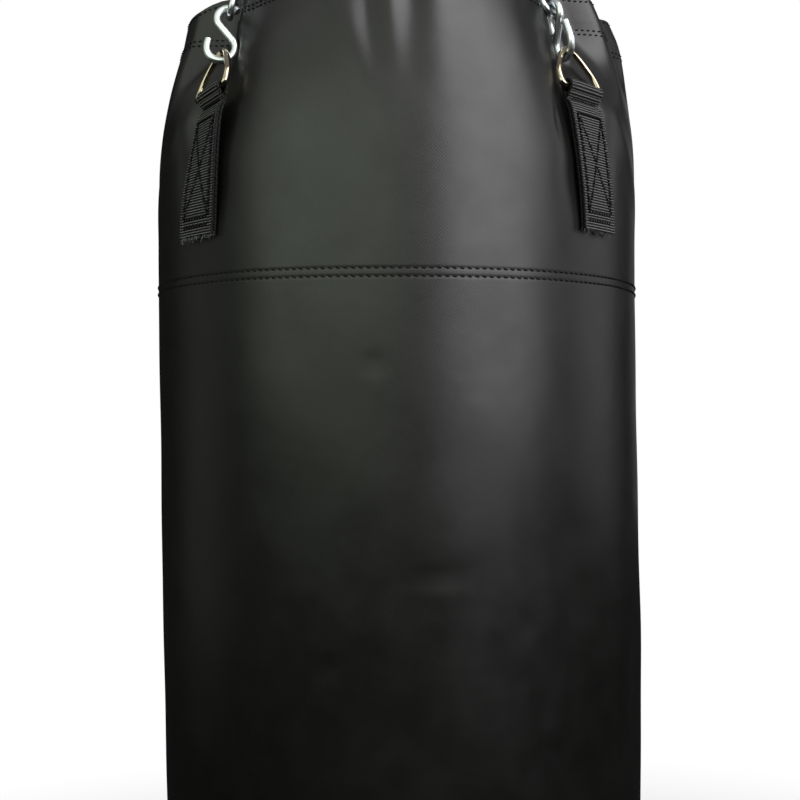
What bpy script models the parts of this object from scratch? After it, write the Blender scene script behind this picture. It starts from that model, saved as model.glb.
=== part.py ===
"""A hanging heavy bag with its straps, rings, hooks, chains and ceiling swivel.

Metres, +Z up. The origin is the point where the ceiling hook bears on the swivel's bow.
The bag hangs below it, with its front towards -Y.
"""
import math

import bmesh
import bpy
from mathutils import Matrix, Vector

# Driving dimensions of the bag
BAG_RADIUS = 0.203
BAG_LENGTH = 1.220
FOOT_RADIUS = 0.198
RIM_Z = -0.3738
SHELL_THICK = 0.0020
HEM_THICK = 0.0036
HEM_DEPTH = 0.028
DRAW_IN = 0.0265
DRAW_DEPTH = 0.150
SEAM_DEPTH = 0.2285
FOOT_ROUND = 0.0080
FOOT_TUCK = 0.0020
PANEL_FLANGE = 0.0300

# The four pleats where the straps pull the rim inwards
PLEAT_IN = 0.038
PLEAT_RIM = (52.5, 12.0, 5.0)
PLEAT_FOOT = (45.5, 9.5, 2.2)
PLEAT_TURN = 0.080

# Gap kept where two pieces touch, where wire hangs in wire, and inside the round shell
GAP = 0.0004
WIRE_PLAY = 0.0010
SHELL_EASE = 0.0014

# Webbing straps, sewn on at 45 degrees to the front
STRAP_WIDTH = 0.036
PLY = 0.0025
BAR_RADIUS = 0.1955
BAR_DEPTH = 0.0915
STRAP_SETTLE = 0.137
STRAP_END = 0.1985

# D-rings, S-hooks, chain links and the ring that gathers the chains
D_WIRE = 0.0050
D_HALF_BAR = 0.0228
D_REACH = 0.0325
D_CORNER = 0.0040
D_CROWN = 0.0130
S_WIRE = 0.0058
S_INSIDE = 0.0380
S_LOOP = 0.0060
LINK_WIRE = 0.0050
LINK_PITCH = 0.0400
LINK_INSIDE_WIDTH = 0.0120
LINKS_ABOVE_KNEE = 7
RING_WIRE = 0.0070
RING_INSIDE = 0.0280

# Swivel
BOW_WIRE = 0.0080
BOW_HALF_WIDTH = 0.0130
CROSS_TOP = -0.0360
CROSS_THICK = 0.0100
CROSS_WIDTH = 0.0200
SHANK_RADIUS = 0.0050
SHANK_CHAMFER = 0.0012
CROSS_OVERHANG = 0.0020
WASHER_THICK = 0.0015
WASHER_RADIUS = 0.0090
NUT_THICK = 0.0080
NUT_RADIUS = 0.0098
EYE_WIRE = 0.0080
EYE_INSIDE = 0.0090
EYE_DROP = 0.0020

# Collar, lid and filling
COLLAR_TOP = 0.148
COLLAR_FOOT = 0.238
COLLAR_THICK = 0.0015
LID_DEPTH = 0.2120
LID_THICK = 0.0020
LID_EDGE = 0.0040
LID_SLOT = 0.0040
FILL_TOP = 0.2200
FILL_EASE = 0.0040
FILL_EDGE = 0.0060

# Zip: two tapes with a bead each, and the slider that holds the beads together
ZIP_HALF_LENGTH = 0.168
TAPE_WIDTH = 0.0150
TAPE_LOW = 0.0003
TAPE_THICK = 0.0010
BEAD_INNER = 0.0009
BEAD_OUTER = 0.0036
BEAD_LOW = -0.0015
BEAD_HIGH = 0.0026
SLIDER_START = -0.150
SLIDER_HALF_LENGTH = 0.0070
SLIDER_HALF_WIDTH = 0.0065
SLIDER_PLATE = 0.0014
SLIDER_EASE = 0.0006
BAIL_HALF_LENGTH = 0.0048
BAIL_TOP = 0.0080
BAIL_WIRE = 0.0016
BAIL_CROWN = 0.0014
BAIL_HALF_WIDTH = 0.0010
HINGE_RISE = 0.0055
PULL_LENGTH = 0.0300
PULL_HALF_WIDTH = 0.0026
PULL_HALF_THICK = 0.0008
WINDOW_LENGTH = 0.0080
WINDOW_HALF_WIDTH = 0.0014

# Longer than any piece, for cutters
CUT = 0.3

# Heights that follow
EYE_Z = CROSS_TOP - CROSS_THICK - EYE_DROP - EYE_INSIDE - EYE_WIRE
EYE_PIVOT_Z = EYE_Z - EYE_INSIDE - EYE_WIRE / 2
RING_Z = EYE_PIVOT_Z + EYE_WIRE / 2 + GAP - RING_INSIDE
FOOT_Z = RIM_Z - BAG_LENGTH

# Each leg: its azimuth from the front, where its chain sits on the ring, how long its hook's
# free ends are, and whether its hook lies across the view or in the strap's own plane
LEGS = {
    "front_right": (45.0, 10.5, 0.0120, False),
    "back_right": (135.0, 25.5, 0.0050, True),
    "back_left": (-135.0, -10.5, 0.0120, False),
    "front_left": (-45.0, -25.5, 0.0050, True),
}


def clear_scene():
    for thing in list(bpy.data.objects):
        bpy.data.objects.remove(thing, do_unlink=True)


def material(name, colour, roughness, metallic=0.0):
    made = bpy.data.materials.new(name)
    made.use_nodes = True
    shader = made.node_tree.nodes["Principled BSDF"]
    shader.inputs["Base Color"].default_value = (*colour, 1.0)
    shader.inputs["Roughness"].default_value = roughness
    shader.inputs["Metallic"].default_value = metallic
    return made


def as_mesh(name, shape):
    """Closes a bmesh into mesh data, with its faces pointing out and its round parts smooth."""
    bmesh.ops.recalc_face_normals(shape, faces=shape.faces)
    data = bpy.data.meshes.new(name)
    shape.to_mesh(data)
    shape.free()
    data.shade_smooth()
    data.set_sharp_from_angle(angle=math.radians(40))
    return data


def add(name, data, finish, place=None, pivot=None):
    """Puts a piece in the scene, on its pivot where it moves with one."""
    piece = bpy.data.objects.new(name, data)
    bpy.context.scene.collection.objects.link(piece)
    if not data.materials:
        data.materials.append(finish)
    piece.matrix_world = place or Matrix.Identity(4)
    if pivot:
        piece.parent = pivot
        piece.matrix_parent_inverse = Matrix.Translation(-world_place(pivot))
    return piece


def world_place(pivot):
    return Vector(pivot["place"])


def add_pivot(name, place, parent=None):
    """An empty on a joint's axis."""
    empty = bpy.data.objects.new(name, None)
    bpy.context.scene.collection.objects.link(empty)
    empty["place"] = place
    empty.location = place
    if parent:
        empty.parent = parent
        empty.matrix_parent_inverse = Matrix.Translation(-world_place(parent))
    return empty


def boolean(piece, other, operation):
    """Joins, cuts or trims a piece by another, which is then removed."""
    step = piece.modifiers.new(operation.lower(), "BOOLEAN")
    step.operation = operation
    step.solver = "EXACT"
    step.object = other
    bpy.context.view_layer.update()
    reading = piece.evaluated_get(bpy.context.evaluated_depsgraph_get())
    result = bpy.data.meshes.new_from_object(reading)
    piece.modifiers.remove(step)
    piece.data = result
    bpy.data.objects.remove(other, do_unlink=True)


def arc(centre, radius, start, end, steps):
    """Points on an arc in a plane, angles in degrees, both ends included."""
    points = []
    for step in range(steps + 1):
        angle = math.radians(start + (end - start) * step / steps)
        points.append((centre[0] + radius * math.cos(angle), centre[1] + radius * math.sin(angle)))
    return points


def wire(points, diameter, sides, closed):
    """A round wire swept along points of the local XZ plane."""
    shape = bmesh.new()
    count = len(points)
    path = [Vector((x, 0, z)) for x, z in points]
    rings = []
    for index, here in enumerate(path):
        before = path[index - 1] if closed or index else here
        after = path[(index + 1) % count] if closed or index < count - 1 else here
        into = (here - before).normalized() if before != here else Vector()
        away = (after - here).normalized() if after != here else Vector()
        along = (into + away).normalized()
        across = Vector((0, 1, 0)).cross(along)
        ring = []
        for side in range(sides):
            turn = math.tau * (side + 0.5) / sides
            ring.append(shape.verts.new(here + diameter / 2 * (
                math.cos(turn) * across + math.sin(turn) * Vector((0, 1, 0)))))
        rings.append(ring)
    for index in range(count if closed else count - 1):
        near, far = rings[index], rings[(index + 1) % count]
        for side in range(sides):
            other = (side + 1) % sides
            shape.faces.new((near[side], near[other], far[other], far[side]))
    if not closed:
        shape.faces.new(rings[0])
        shape.faces.new(rings[-1])
    return as_mesh("wire", shape)


def turned(profile, columns, closed):
    """Turns points (radius, height) about Z. An open profile starts and ends on the axis."""
    shape = bmesh.new()
    rows = []
    for radius, height in profile:
        if radius == 0:
            rows.append([shape.verts.new((0, 0, height))] * columns)
            continue
        rows.append([shape.verts.new((radius * math.sin(math.tau * column / columns),
                                      -radius * math.cos(math.tau * column / columns), height))
                     for column in range(columns)])
    for index in range(len(rows) if closed else len(rows) - 1):
        join_rows(shape, rows[index], rows[(index + 1) % len(rows)])
    return as_mesh("turned", shape)


def join_rows(shape, near, far):
    for column in range(len(near)):
        other = (column + 1) % len(near)
        corners = []
        for corner in (near[column], near[other], far[other], far[column]):
            if corner not in corners:
                corners.append(corner)
        shape.faces.new(corners)


def prism(outline, axis, low, high):
    """Extrudes an outline along X, or along Y where its points are (x, z)."""
    shape = bmesh.new()
    ends = []
    for level in (low, high):
        if axis == "X":
            ends.append([shape.verts.new((level, u, v)) for u, v in outline])
        else:
            ends.append([shape.verts.new((u, level, v)) for u, v in outline])
    shape.faces.new(ends[0])
    shape.faces.new(ends[1])
    join_rows(shape, ends[0], ends[1])
    return as_mesh("prism", shape)


def frame(centre, up, normal):
    """Stands a shape's Z along up and its Y along normal, at a centre."""
    up = up.normalized()
    normal = (normal - normal.dot(up) * up).normalized()
    side = normal.cross(up)
    turn = Matrix((side, normal, up)).transposed().to_4x4()
    return Matrix.Translation(centre) @ turn


def smooth(value):
    value = min(max(value, 0.0), 1.0)
    return value * value * (3 - 2 * value)


def mix(first, second, share):
    return first + (second - first) * share


def outward(azimuth):
    """The level direction that points out of the bag at an azimuth from the front."""
    angle = math.radians(azimuth)
    return Vector((math.sin(angle), -math.cos(angle), 0))


def limb_radius(depth):
    """The bag's outer radius away from its pleats, at a depth below the rim."""
    draw = DRAW_IN * max(0.0, 1 - depth / DRAW_DEPTH) ** 2
    taper = (BAG_RADIUS - FOOT_RADIUS) * smooth((depth - 0.40) / (BAG_LENGTH - 0.40))
    return BAG_RADIUS - draw - taper


def pleat(azimuth, depth):
    """How far the shell is pulled in at an azimuth and depth."""
    if depth >= DRAW_DEPTH:
        return 0.0
    angle = math.radians(azimuth)
    from_axis = math.degrees(math.atan2(abs(math.sin(angle)), abs(math.cos(angle))))
    share = smooth(depth / PLEAT_TURN)
    centre, half, power = (mix(a, b, share) for a, b in zip(PLEAT_RIM, PLEAT_FOOT))
    strength = (1 - (depth / DRAW_DEPTH) ** 1.6) ** 1.5
    return PLEAT_IN * strength * math.exp(-(abs(from_axis - centre) / half) ** power)


def shell_columns():
    """Azimuths round the shell, closer together at the pleats."""
    quarter = [8.5 * step for step in range(4)]
    quarter += [34.0 + 2.77 * step for step in range(13)]
    quarter += [70.0, 80.0]
    columns = quarter + [180 - angle for angle in reversed(quarter[1:])]
    columns.insert(len(quarter), 90.0)
    columns += [180 + angle for angle in columns]
    return columns


def build_shell(finish, pivot):
    """The vinyl shell: a wall with its hem folded in at the rim and four pleats."""
    outer = [0.0, 0.012, 0.028, 0.045, 0.064, 0.088, 0.112, 0.150, SEAM_DEPTH, 0.55, 0.90]
    inner = [0.45, 0.150, 0.112, 0.088, 0.064, 0.045, HEM_DEPTH + 0.001]
    shape = bmesh.new()
    rows = []

    def row(depth, inset):
        rows.append([shape.verts.new(
            outward(azimuth) * (limb_radius(depth) - pleat(azimuth, depth) - inset)
            + Vector((0, 0, RIM_Z - depth))) for azimuth in shell_columns()])

    for depth in outer:
        row(depth, 0.0)
    hem = BAG_LENGTH - 0.001
    row(BAG_LENGTH - FOOT_ROUND, 0.0)
    row(hem, FOOT_TUCK)
    row(hem, FOOT_TUCK + SHELL_THICK)
    for depth in inner:
        row(depth, SHELL_THICK)
    row(HEM_DEPTH, HEM_THICK)
    row(0.0, HEM_THICK)
    for index, near in enumerate(rows):
        join_rows(shape, near, rows[(index + 1) % len(rows)])
    add("outer_shell", as_mesh("shell", shape), finish, pivot=pivot)


def build_inside(vinyl, canvas, fibre, pivot):
    """The bottom panel, the collar sewn inside the shell and the packed filling."""
    outside = FOOT_RADIUS - FOOT_TUCK - SHELL_THICK - 2 * GAP
    round_off = 0.003
    panel = [(0, FOOT_Z), (outside - round_off, FOOT_Z), (outside, FOOT_Z + round_off),
             (outside, FOOT_Z + PANEL_FLANGE), (outside - SHELL_THICK, FOOT_Z + PANEL_FLANGE),
             (outside - SHELL_THICK, FOOT_Z + SHELL_THICK), (0, FOOT_Z + SHELL_THICK)]
    add("bottom_panel", turned(panel, 36, False), vinyl, pivot=pivot)

    outside = BAG_RADIUS - SHELL_THICK - SHELL_EASE
    top, foot = RIM_Z - COLLAR_TOP, RIM_Z - COLLAR_FOOT
    ring = [(outside, top), (outside, foot), (outside - COLLAR_THICK, foot), (outside - COLLAR_THICK, top)]
    add("inner_collar", turned(ring, 36, True), canvas, pivot=pivot)

    outside = FOOT_RADIUS - 2 * SHELL_THICK - FILL_EASE
    foot, top = FOOT_Z + SHELL_THICK + GAP, RIM_Z - FILL_TOP
    wide = BAG_RADIUS - SHELL_THICK - COLLAR_THICK - LID_THICK - 0.003
    body = [(0, foot), (outside, foot), (outside, foot + 0.05), (wide, foot + 0.35),
            (wide, top - FILL_EDGE), (wide - FILL_EDGE, top), (0, top)]
    add("textile_filling", turned(body, 36, False), fibre, pivot=pivot)


def build_lid(canvas, tape, zinc, pivot):
    """The two lid halves with their sewn flange, the zip between them, its slider and pull."""
    top = RIM_Z - LID_DEPTH
    outside = BAG_RADIUS - SHELL_THICK - SHELL_EASE - COLLAR_THICK - GAP
    foot = RIM_Z - COLLAR_FOOT
    cup = [(0, top), (outside - LID_EDGE, top), (outside, top - LID_EDGE), (outside, foot),
           (outside - LID_THICK, foot), (outside - LID_THICK, top - LID_EDGE - 0.0005), (0, top - LID_THICK)]
    for name, low, high in (("lid_front", -CUT, -LID_SLOT), ("lid_back", LID_SLOT, CUT)):
        half = add(name, turned(cup, 36, False), canvas, pivot=pivot)
        box = [(low, top - CUT), (high, top - CUT), (high, top + CUT), (low, top + CUT)]
        boolean(half, add("trim", prism(box, "X", -CUT, CUT), canvas), "INTERSECT")
    tape_high = TAPE_LOW + TAPE_THICK
    bead = [(BEAD_INNER, BEAD_LOW), (BEAD_OUTER, BEAD_LOW), (BEAD_OUTER, TAPE_LOW), (TAPE_WIDTH, TAPE_LOW),
            (TAPE_WIDTH, tape_high), (BEAD_OUTER, tape_high), (BEAD_OUTER, BEAD_HIGH), (BEAD_INNER, BEAD_HIGH)]
    for name, side in (("zip_tape_front", -1), ("zip_tape_back", 1)):
        outline = [(side * y, top + z) for y, z in bead]
        add(name, prism(outline, "X", -ZIP_HALF_LENGTH, ZIP_HALF_LENGTH), tape, pivot=pivot)
    build_slider(zinc, top, tape_high, pivot)


def build_slider(zinc, lid_top, tape_high, pivot):
    """The zip's slider with its bail, and the pull that flips over in it."""
    slider_pivot = add_pivot("slider_axis", (SLIDER_START, 0, lid_top), pivot)
    wing = BEAD_OUTER + SLIDER_EASE
    keel = LID_SLOT - SLIDER_EASE
    web = BEAD_INNER - GAP
    over, under = BEAD_HIGH + GAP, BEAD_LOW - GAP
    half = [(SLIDER_HALF_WIDTH, over + SLIDER_PLATE), (SLIDER_HALF_WIDTH, tape_high + GAP),
            (wing, tape_high + GAP), (wing, over), (web, over),
            (web, under), (keel, under), (keel, under - SLIDER_PLATE)]
    body = half + [(-y, z) for y, z in reversed(half)]
    at_slider = Matrix.Translation((SLIDER_START, 0, lid_top))
    block = prism(body, "X", -SLIDER_HALF_LENGTH, SLIDER_HALF_LENGTH)
    slider = add("zip_slider", block, zinc, at_slider, slider_pivot)
    sunk = over + SLIDER_PLATE - 0.0002
    inside, crown = BAIL_HALF_LENGTH - BAIL_WIRE, BAIL_TOP - BAIL_CROWN
    bail = [(-BAIL_HALF_LENGTH, sunk), (-BAIL_HALF_LENGTH, BAIL_TOP), (BAIL_HALF_LENGTH, BAIL_TOP),
            (BAIL_HALF_LENGTH, sunk), (inside, sunk), (inside, crown), (-inside, crown), (-inside, sunk)]
    bridge = prism(bail, "Y", -BAIL_HALF_WIDTH, BAIL_HALF_WIDTH)
    boolean(slider, add("bail", bridge, zinc, at_slider), "UNION")

    hinge = (SLIDER_START, 0, lid_top + HINGE_RISE)
    pull_pivot = add_pivot("pull_axis", hinge, slider_pivot)
    outline = arc((0, 0), PULL_HALF_THICK, -90, 90, 6)
    outline += [(-PULL_LENGTH, PULL_HALF_THICK), (-PULL_LENGTH, -PULL_HALF_THICK)]
    at_hinge = Matrix.Translation(hinge)
    bar = prism(outline, "Y", -PULL_HALF_WIDTH, PULL_HALF_WIDTH)
    pull = add("zip_pull", bar, zinc, at_hinge, pull_pivot)
    window = [(-WINDOW_LENGTH, -CUT), (-PULL_HALF_THICK, -CUT), (-PULL_HALF_THICK, CUT), (-WINDOW_LENGTH, CUT)]
    cutter = prism(window, "Y", -WINDOW_HALF_WIDTH, WINDOW_HALF_WIDTH)
    boolean(pull, add("window", cutter, zinc, at_hinge), "DIFFERENCE")


def build_strap(name, azimuth, webbing, pivot):
    """Webbing doubled over the D-ring's bar and sewn flat on the shell."""
    hole = D_WIRE / 2 + GAP
    loop = hole + PLY
    bar = (BAR_RADIUS, RIM_Z - BAR_DEPTH)
    settle = (BAG_RADIUS + GAP, RIM_Z - STRAP_SETTLE)
    foot = RIM_Z - STRAP_END
    slope = math.degrees(math.atan2(settle[0] - bar[0] + loop, bar[1] - settle[1]))
    outline = arc(bar, loop, slope, 180 + slope, 8)
    outline += [settle, (settle[0], foot), (settle[0] + 2 * PLY, foot), (settle[0] + 2 * PLY, settle[1])]
    turn = Matrix.Rotation(math.radians(azimuth - 90), 4, "Z")
    strap = add(name, prism(outline, "Y", -STRAP_WIDTH / 2, STRAP_WIDTH / 2), webbing, turn, pivot)
    core = arc(bar, hole, 0, 330, 11)
    boolean(strap, add("core", prism(core, "Y", -STRAP_WIDTH, STRAP_WIDTH), webbing, turn), "DIFFERENCE")


def d_ring_path():
    """Bar at height 0, two tight corners and a rounded crown, as the hull of three circles."""
    corner = (D_HALF_BAR - D_CORNER, D_CORNER)
    crown = (0.0, D_REACH + (WIRE_PLAY + D_WIRE) / 2 - D_CROWN)
    rise, run = crown[1] - corner[1], crown[0] - corner[0]
    lean = math.degrees(math.atan2(rise, run))
    ease = math.degrees(math.asin((D_CROWN - D_CORNER) / math.hypot(rise, run)))
    tangent = lean - ease - 90
    right = arc(corner, D_CORNER, -90, tangent, 4) + arc(crown, D_CROWN, tangent, 90, 6)
    return right + [(-x, z) for x, z in reversed(right[:-1])]


def s_hook_path(tip):
    """Lower free end, lower loop, slanting leg, upper loop and upper free end."""
    radius = S_LOOP + S_WIRE / 2
    middle = (S_INSIDE + WIRE_PLAY) / 2 - S_LOOP
    slant = math.degrees(math.asin(radius / middle))
    lower = [(-radius, -middle + tip)] + arc((0, -middle), radius, 180, 360 + slant, 11)
    return lower + [(-x, -z) for x, z in reversed(lower)]


def link_path():
    """A chain link: two half rounds joined by straight sides, with its long axis upright."""
    radius = (LINK_INSIDE_WIDTH + LINK_WIRE) / 2
    half = (LINK_PITCH + WIRE_PLAY - LINK_INSIDE_WIDTH) / 2
    return arc((0, half), radius, 0, 180, 5) + arc((0, -half), radius, 180, 360, 5)


def knee(top, foot, upper, lower):
    """Where a chain bends out over the rim: its two lengths meet there, in the leg's upright plane."""
    reach = top - foot
    along = reach.normalized()
    level = Vector((foot.x - top.x, foot.y - top.y, 0)).normalized()
    out = (level - level.dot(along) * along).normalized()
    share = (reach.length_squared + lower ** 2 - upper ** 2) / (2 * reach.length)
    return foot + along * share + out * math.sqrt(lower ** 2 - share ** 2)


def build_leg(name, steel, nickel, zinc, link_mesh, d_mesh, pivot):
    """One of the four chains with its S-hook and D-ring, from the ring down to the strap."""
    azimuth, seat, tip, across = LEGS[name]
    out = outward(azimuth)
    seat = math.radians(seat)
    core = Vector((math.sin(seat), 0, -math.cos(seat))) * (RING_INSIDE + RING_WIRE / 2)
    core += Vector((0, 0, RING_Z))
    rise = RING_WIRE / 2 + WIRE_PLAY
    bar = out * BAR_RADIUS + Vector((0, 0, RIM_Z - BAR_DEPTH))
    lower = D_REACH + S_INSIDE + LINK_PITCH
    bend = knee(core, bar, LINKS_ABOVE_KNEE * LINK_PITCH - rise, lower)
    up_high = (core - bend).normalized()
    top = core + up_high * rise
    up_low = (bend - bar).normalized()

    carry = up_high.rotation_difference(up_low)
    first = Vector((1, 0, 0))
    first = (first - first.dot(up_high) * up_high).normalized()
    tangent = Vector((0, 0, 1)).cross(out)
    hook_normal = Vector((0, 1, 0)) if across else tangent
    hook_normal = (hook_normal - hook_normal.dot(up_low) * up_low).normalized()
    start = carry @ first
    excess = math.atan2(start.cross(hook_normal).dot(up_low), start.dot(hook_normal))
    if abs(excess) > math.pi / 2:
        excess -= math.copysign(math.pi, excess)
    steps = LINKS_ABOVE_KNEE + 1
    for number in range(1, steps + 1):
        turn = Matrix.Rotation((number - 1) * (math.pi / 2 + excess / steps), 3, up_high)
        normal = turn @ first
        if number <= LINKS_ABOVE_KNEE:
            centre = top - up_high * LINK_PITCH * (number - 0.5)
            place = frame(centre, up_high, normal)
        else:
            place = frame(bend - up_low * LINK_PITCH / 2, up_low, carry @ normal)
        add(f"chain_{name}_link_{number}", link_mesh, steel, place, pivot)

    normal = hook_normal if hook_normal.cross(up_low).dot(out) < 0 else -hook_normal
    centre = bar + up_low * (D_REACH + S_INSIDE / 2)
    hook = wire(s_hook_path(tip), S_WIRE, 6, False)
    add(f"s_hook_{name}", hook, zinc, frame(centre, up_low, normal), pivot)
    add(f"d_ring_{name}", d_mesh, nickel, frame(bar, up_low - up_low.dot(tangent) * tangent, out), pivot)


def build_swivel(steel, ring_steel, swivel_pivot, ring_pivot):
    """The bow that hangs on the ceiling hook, the eye that turns in it and the chain ring."""
    reach = BOW_HALF_WIDTH + BOW_WIRE / 2
    crown = BOW_WIRE / 2 - reach
    foot = CROSS_TOP - CROSS_THICK / 2
    path = [(reach, foot)] + arc((0, crown), reach, 0, 180, 12) + [(-reach, foot)]
    bow = add("swivel_bow", wire(path, BOW_WIRE, 8, False), steel)
    half = reach + BOW_WIRE / 2 + CROSS_OVERHANG
    plate = arc((half - CROSS_WIDTH / 2, 0), CROSS_WIDTH / 2, -90, 90, 6)
    plate += [(-x, y) for x, y in reversed(plate)]
    shape = bmesh.new()
    levels = [[shape.verts.new((x, y, z)) for x, y in plate] for z in (CROSS_TOP - CROSS_THICK, CROSS_TOP)]
    shape.faces.new(levels[0])
    shape.faces.new(levels[1])
    join_rows(shape, levels[0], levels[1])
    boolean(bow, add("cross", as_mesh("cross", shape), steel), "UNION")
    bore = SHANK_RADIUS + GAP
    hole = [(0, -CUT), (bore, -CUT), (bore, CROSS_TOP + CROSS_WIDTH), (0, CROSS_TOP + CROSS_WIDTH)]
    boolean(bow, add("hole", turned(hole, 16, False), steel), "DIFFERENCE")

    low = CROSS_TOP + GAP
    high = low + WASHER_THICK
    washer = [(bore, low), (WASHER_RADIUS, low), (WASHER_RADIUS, high), (bore, high)]
    add("thrust_washer", turned(washer, 24, True), steel)

    low = high + GAP
    high = low + NUT_THICK
    blank = [(0, low), (NUT_RADIUS, low), (NUT_RADIUS, high), (0, high)]
    nut = add("swivel_nut", turned(blank, 6, False), steel, pivot=swivel_pivot)
    boolean(nut, add("thread", turned(hole, 16, False), steel), "DIFFERENCE")

    round_path = arc((0, 0), EYE_INSIDE + EYE_WIRE / 2, 0, 345, 23)
    turn = Matrix.Translation((0, 0, EYE_Z)) @ Matrix.Rotation(math.pi / 2, 4, "Z")
    eye = add("swivel_eye", wire(round_path, EYE_WIRE, 8, True), steel, turn, swivel_pivot)
    sunk = EYE_Z + EYE_INSIDE + EYE_WIRE / 4
    tip = high + 2 * SHANK_CHAMFER
    shank = [(0, sunk), (SHANK_RADIUS, sunk), (SHANK_RADIUS, tip - SHANK_CHAMFER),
             (SHANK_RADIUS - SHANK_CHAMFER, tip), (0, tip)]
    boolean(eye, add("shank", turned(shank, 16, False), steel), "UNION")

    round_path = arc((0, 0), RING_INSIDE + RING_WIRE / 2, 0, 350, 35)
    place = Matrix.Translation((0, 0, RING_Z))
    add("master_ring", wire(round_path, RING_WIRE, 8, True), ring_steel, place, ring_pivot)


def main():
    clear_scene()
    vinyl = material("black_vinyl", (0.022, 0.022, 0.022), 0.42)
    canvas = material("black_canvas", (0.020, 0.020, 0.021), 0.85)
    webbing = material("black_webbing", (0.018, 0.018, 0.018), 0.80)
    fibre = material("textile_fill", (0.35, 0.34, 0.33), 0.95)
    tape = material("zip_tape", (0.015, 0.015, 0.015), 0.75)
    steel = material("zinc_steel", (0.72, 0.74, 0.76), 0.30, 1.0)
    nickel = material("nickel", (0.78, 0.72, 0.62), 0.22, 1.0)

    swivel_pivot = add_pivot("swivel_axis", (0, 0, CROSS_TOP))
    ring_pivot = add_pivot("ring_axis", (0, 0, EYE_PIVOT_Z), swivel_pivot)
    seats = [math.cos(math.radians(leg[1])) for leg in LEGS.values()]
    hang = RING_Z - (RING_INSIDE + RING_WIRE / 2) * sum(seats) / len(seats)
    bag_pivot = add_pivot("bag_axis", (0, 0, hang), ring_pivot)

    build_swivel(steel, steel, swivel_pivot, ring_pivot)
    link_mesh = wire(link_path(), LINK_WIRE, 6, True)
    d_mesh = wire(d_ring_path(), D_WIRE, 6, True)
    for name, leg in LEGS.items():
        build_leg(name, steel, nickel, steel, link_mesh, d_mesh, bag_pivot)
        build_strap(f"strap_{name}", leg[0], webbing, bag_pivot)
    build_shell(vinyl, bag_pivot)
    build_inside(vinyl, canvas, fibre, bag_pivot)
    build_lid(canvas, tape, steel, bag_pivot)
    bpy.context.view_layer.update()


main()
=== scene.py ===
import math
import random

import bmesh
import bpy
import numpy as np
from mathutils import Matrix, Vector


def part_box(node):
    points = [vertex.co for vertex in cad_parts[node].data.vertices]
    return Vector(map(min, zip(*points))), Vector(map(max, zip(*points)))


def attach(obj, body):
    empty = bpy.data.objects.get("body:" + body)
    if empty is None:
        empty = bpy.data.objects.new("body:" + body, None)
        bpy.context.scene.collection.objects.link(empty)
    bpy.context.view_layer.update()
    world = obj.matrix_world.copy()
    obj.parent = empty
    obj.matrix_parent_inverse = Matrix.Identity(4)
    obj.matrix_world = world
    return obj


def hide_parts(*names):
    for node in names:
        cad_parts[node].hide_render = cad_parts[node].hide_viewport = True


# The dressed heavy bag: stitched vinyl shell, webbing straps, wire hardware, swivel and zipped lid.
# Metres, +Z up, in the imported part's frame, with the bag's front towards -Y.
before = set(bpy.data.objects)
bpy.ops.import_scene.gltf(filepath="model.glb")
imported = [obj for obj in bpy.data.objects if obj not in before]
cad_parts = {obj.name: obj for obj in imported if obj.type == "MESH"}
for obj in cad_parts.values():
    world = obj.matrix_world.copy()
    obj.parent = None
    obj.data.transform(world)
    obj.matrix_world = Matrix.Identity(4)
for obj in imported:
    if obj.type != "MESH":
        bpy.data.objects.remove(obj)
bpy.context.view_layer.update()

# The bag's place and size, as packed
SHELL_LOW, SHELL_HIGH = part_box("outer_shell")
RIM_Z = SHELL_HIGH.z
BAG_RADIUS = SHELL_HIGH.x
FOOT_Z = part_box("bottom_panel")[0].z
BAG_LENGTH = RIM_Z - FOOT_Z
FOOT_RADIUS = 0.198
TAPER_START = 0.40
SHELL_THICK = 0.0020
HEM_THICK = 0.0036
HEM_DEPTH = 0.028
DRAW_IN = 0.0265
DRAW_DEPTH = 0.150
GAP = 0.0004
UP = Vector((0, 0, 1))

# The rim's folds, which the back repeats: azimuth, how deep the rim is folded in, and how far it stands up
RIM_FOLDS = [
    (-90, -0.0014, -0.0012), (-79, -0.0006, 0.0008), (-75, 0.0004, 0.0014), (-72, 0.0024, 0.0016),
    (-70, 0.0048, 0.0016), (-69, 0.0090, 0.0045), (-68, 0.0200, 0.0105), (-66.7, 0.0326, 0.0125),
    (-63, 0.0400, 0.0110), (-58, 0.0420, 0.0090), (-51, 0.0395, 0.0090), (-48, 0.0340, 0.0080),
    (-46, 0.0240, 0.0030), (-43.8, 0.0120, 0.0), (-40, 0.0098, 0.0), (-37, 0.0107, 0.0),
    (-31, 0.0081, 0.0), (-20, 0.0045, 0.0), (-8, 0.0010, 0.0), (0, 0.0, 0.0), (10, 0.0015, 0.0),
    (20, 0.0040, 0.0), (33, 0.0086, 0.0), (38, 0.0150, 0.0), (42.6, 0.0199, 0.0), (48, 0.0235, 0.0030),
    (53, 0.0258, 0.0050), (55.5, 0.0330, 0.0080), (57.5, 0.0350, 0.0080), (60, 0.0285, 0.0040),
    (62, 0.0175, 0.0010), (64.5, 0.0050, 0.0010),
    (67, 0.0048, 0.0005), (70, 0.0085, 0.0), (73, 0.0118, -0.0008), (75.5, 0.0105, -0.0016),
    (77.5, 0.0042, -0.0018), (79.5, -0.0020, -0.0018), (84, -0.0018, -0.0016), (90, -0.0014, -0.0012),
]
FOLD_DEPTH = 0.0265
FOLD_FOOT = (45.5, 9.5, 2.2, 0.0345)
FOLD_TURN_START = 0.02
FOLD_TURN = 0.085
FOLD_STEP = 0.25
FOLD_ROUND = 0.7

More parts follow.
